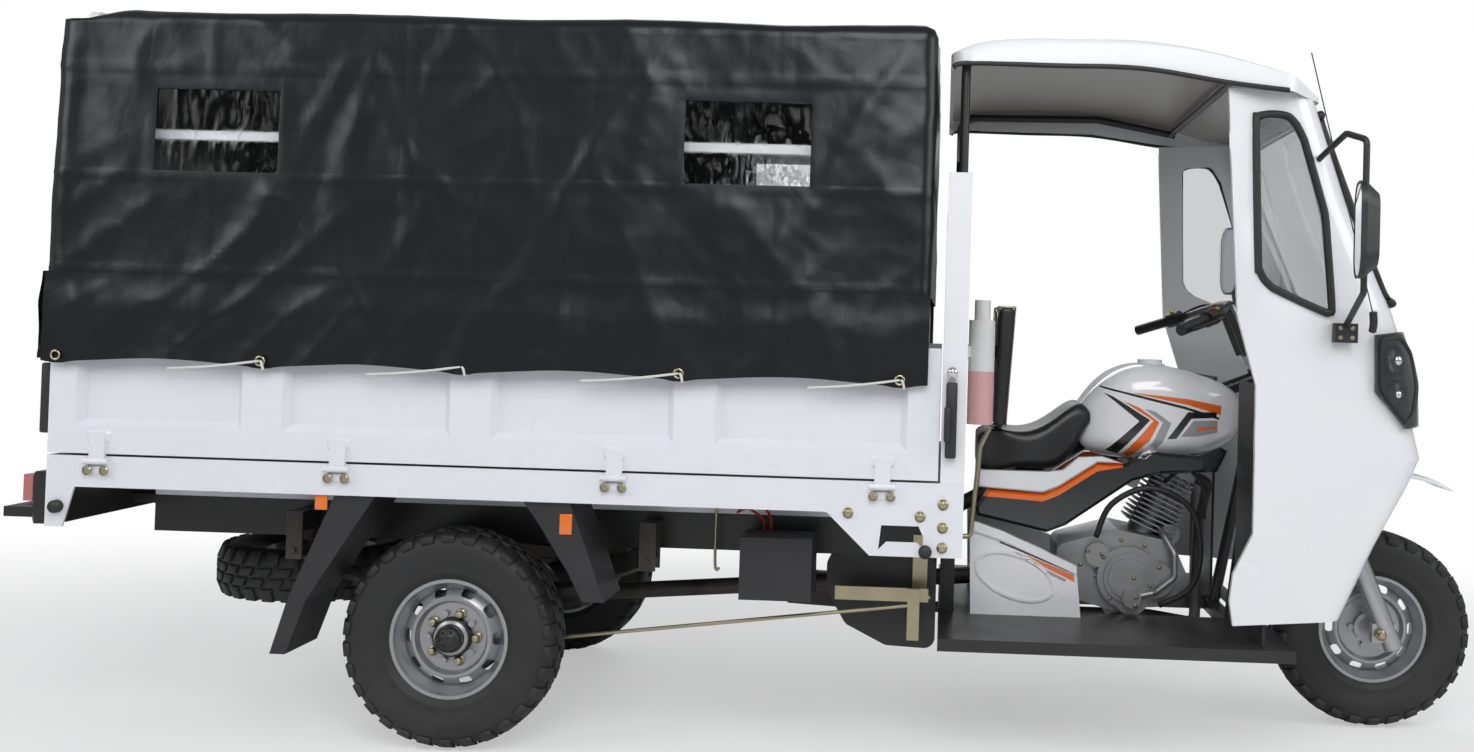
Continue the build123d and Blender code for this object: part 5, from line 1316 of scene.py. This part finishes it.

# %% [markdown]
# ## Two-tone plastics
# Three parts change colour with place: the bottle is pink where it is full, the tail lamps are red and
# the headlamps smoked, and the cab roof's underside carries painted shade, a dark beige where its faces point
# down.

# %% Two-tone finishes and painted shade
def two_tone_and_painted_shade(name, first, second, roughness, axis, edge, alpha=1.0, by_normal=False):
    """A finish whose colour changes where a coordinate, or the normal's upward part, passes an edge; split by
    the normal, it paints shade on faces that point down.
    """
    material = bpy.data.materials.new(name)
    tree = shader_tree(material)
    if by_normal:
        place = add(tree, "ShaderNodeNewGeometry").outputs["Normal"]
    else:
        place = add(tree, "ShaderNodeTexCoord").outputs["Object"]
    split = add(tree, "ShaderNodeSeparateXYZ")
    above = add(tree, "ShaderNodeMath", operation="GREATER_THAN")
    above.inputs[1].default_value = edge
    mix = add(tree, "ShaderNodeMix", data_type="RGBA")
    mix.inputs[6].default_value = rgba(first)
    mix.inputs[7].default_value = rgba(second)
    surface = add(tree, "ShaderNodeBsdfPrincipled", Roughness=roughness, Alpha=alpha)
    link(tree, place, split.inputs[0])
    wire(tree, (split, axis, above, 0), (above, 0, mix, "Factor"), (mix, 2, surface, "Base Color"))
    link(tree, surface.outputs[0], add(tree, "ShaderNodeOutputMaterial").inputs[0])
    return material


TWO_TONES_AND_PAINTED_SHADE = {
    "coolant_bottle": two_tone_and_painted_shade(
        "bottle_plastic", (0.74, 0.42, 0.42), (0.80, 0.81, 0.80), 0.30, "Z", 1.010, 0.95
    ),
    "lamps": two_tone_and_painted_shade("lamp_plastic", (0.45, 0.010, 0.010), (0.045, 0.047, 0.052), 0.05, "X", 0.0, 0.62),
    # Painted shade: the roof's faces that point down are dark beige, standing in for the shadow under the
    # white roof.
    "cab_roof": two_tone_and_painted_shade("roof_paint_and_painted_shade", (0.36, 0.34, 0.30), (0.82, 0.83, 0.85), 0.24, "Z", -0.35, 1.0, True),
}
for node, material in TWO_TONES_AND_PAINTED_SHADE.items():
    for material_slot in nodes[node].material_slots:
        material_slot.material = material

# %% [markdown]
# ## Seat and backrest
# The seat's hard model is turned into an even net and smoothed, so it reads as foam under a cover.

# %% Padded pieces
def pad(name, node, voxel, rounds):
    """A soft piece made from a frame part's own shape."""
    bm = bmesh.new()
    bm.from_mesh(nodes[node].data)
    bmesh.ops.remove_doubles(bm, verts=bm.verts, dist=1e-5)
    bmesh.ops.recalc_face_normals(bm, faces=bm.faces)
    piece = new_piece(name, bm, finish["leather"])
    net = piece.modifiers.new("net", "REMESH")
    net.mode = "VOXEL"
    net.voxel_size = voxel
    net.use_smooth_shade = True
    smooth = piece.modifiers.new("soften", "SMOOTH")
    smooth.factor = 0.5
    smooth.iterations = rounds
    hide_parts(node)


pad("seat_pad", "saddle", 0.006, 6)
pad("back_pad", "backrest", 0.006, 4)
straps = bmesh.new()
STRAP_CORNERS = [(1.4000, 0.848), (1.4425, 0.848), (1.4625, 1.192), (1.4125, 1.192)]
for y in (-0.115, 0.115):
    for first, second in zip(STRAP_CORNERS, STRAP_CORNERS[1:] + STRAP_CORNERS[:1]):
        add_run(straps, [(first[0], y, first[1]), (second[0], y, second[1])], 0.0035)
new_piece("straps", straps, finish["zinc_steel"])

# %% [markdown]
# ## Controls, hoses and rods

# %% Controls and hoses
GRIP_POD = (1.992, 0.293, 1.176)
red, yellow, cables = bmesh.new(), bmesh.new(), bmesh.new()
x, y, z = GRIP_POD
add_disc(red, from_axle(x + 0.004, -y, z + 0.020), (0, 0, 1), 0.0065, 0.009)
add_disc(yellow, from_axle(x - 0.012, y, z + 0.020), (0, 0, 1), 0.0065, 0.009)
add_disc(yellow, from_axle(x + 0.020, -y + 0.012, z + 0.021), (0, 0, 1), 0.0055, 0.008)
BAR_CABLE = [
    (2.010, 0.262, 1.192), (2.075, 0.215, 1.222), (2.150, 0.150, 1.200), (2.190, 0.090, 1.120),
    (2.200, 0.065, 1.010),
]
for side in (-1, 1):
    add_run(cables, [(x, side * y, z) for x, y, z in BAR_CABLE], 0.0035, 8)
new_piece("button_red", red, finish["red_plastic"], "steering")
new_piece("button_yellow", yellow, finish["yellow_plastic"], "steering")
new_piece("bar_cables", cables, finish["gasket"], "steering")
HOSES = [
    # radius, points from the rear axle
    (0.0085, [
        (1.705, -0.185, 0.545), (1.745, -0.195, 0.640), (1.850, -0.200, 0.690), (1.965, -0.195, 0.640),
        (2.000, -0.190, 0.520), (1.975, -0.185, 0.410), (1.890, -0.170, 0.355),
    ]),
    (0.006, [(1.905, -0.120, 0.700), (1.960, -0.150, 0.745), (2.010, -0.150, 0.690), (2.020, -0.130, 0.600)]),
]
hoses = bmesh.new()
for radius, places in HOSES:
    add_run(hoses, places, radius)
new_piece("hoses", hoses, finish["gasket"])

# %% [markdown]
# ## Engine and front wheel hardware
# The bolts that close the engine's side covers stand on the castings, found by rays.

# %% Bolts on the castings
engine = surface_of("engine")
bm = bmesh.new()
BOLT_RINGS = [
    # centre x from the rear axle, centre z, ring radius, bolts, first angle
    (1.802, 0.442, 0.090, 8, 0.2), (1.700, 0.470, 0.034, 4, 0.4), (1.835, 0.405, 0.030, 3, 0.1),
]
for centre_x, centre_z, ring, count, first in BOLT_RINGS:
    for number in range(count):
        angle = first + 2 * pi * number / count
        spot = from_side(engine, centre_x + ring * cos(angle), centre_z + ring * sin(angle), -1)
        if spot is not None:
            add_bolt(bm, spot, (0, -1, 0), 0.0042)
new_piece("engine_bolts", bm, finish["zinc_steel"])
bm = bmesh.new()
axle = middle("tyre_front")
for side in (-1, 1):
    add_bolt(bm, axle + Vector((0, side * 0.128, 0)), (0, side, 0), 0.011)
new_piece("front_axle_nuts", bm, finish["zinc_steel"], "steering")

# %% Rods and leads under the bed
RODS = [
    # x from the rear axle, y, low z, high z
    (-0.573, -0.30, 0.515, 0.650), (0.655, -0.40, 0.470, 0.650),
]
rods, leads = bmesh.new(), bmesh.new()
for x, y, low_z, high_z in RODS:
    add_run(rods, [(x, y, high_z), (x, y, low_z), (x + 0.012, y, low_z - 0.012)], 0.004, 8)
new_piece("hanging_rods", rods, finish["zinc_steel"])
for shift, rise in ((0.0, 0.055), (0.018, 0.075)):
    terminal, bend = (0.790 + shift, -0.43, 0.566), (0.785 + shift, -0.43, 0.566 + rise * 0.6)
    add_run(leads, [terminal, bend, (0.740 + shift, -0.40, 0.566 + rise), (0.700, -0.345, 0.600)], 0.0035, 8)
new_piece("battery_leads", leads, finish["red_plastic"])
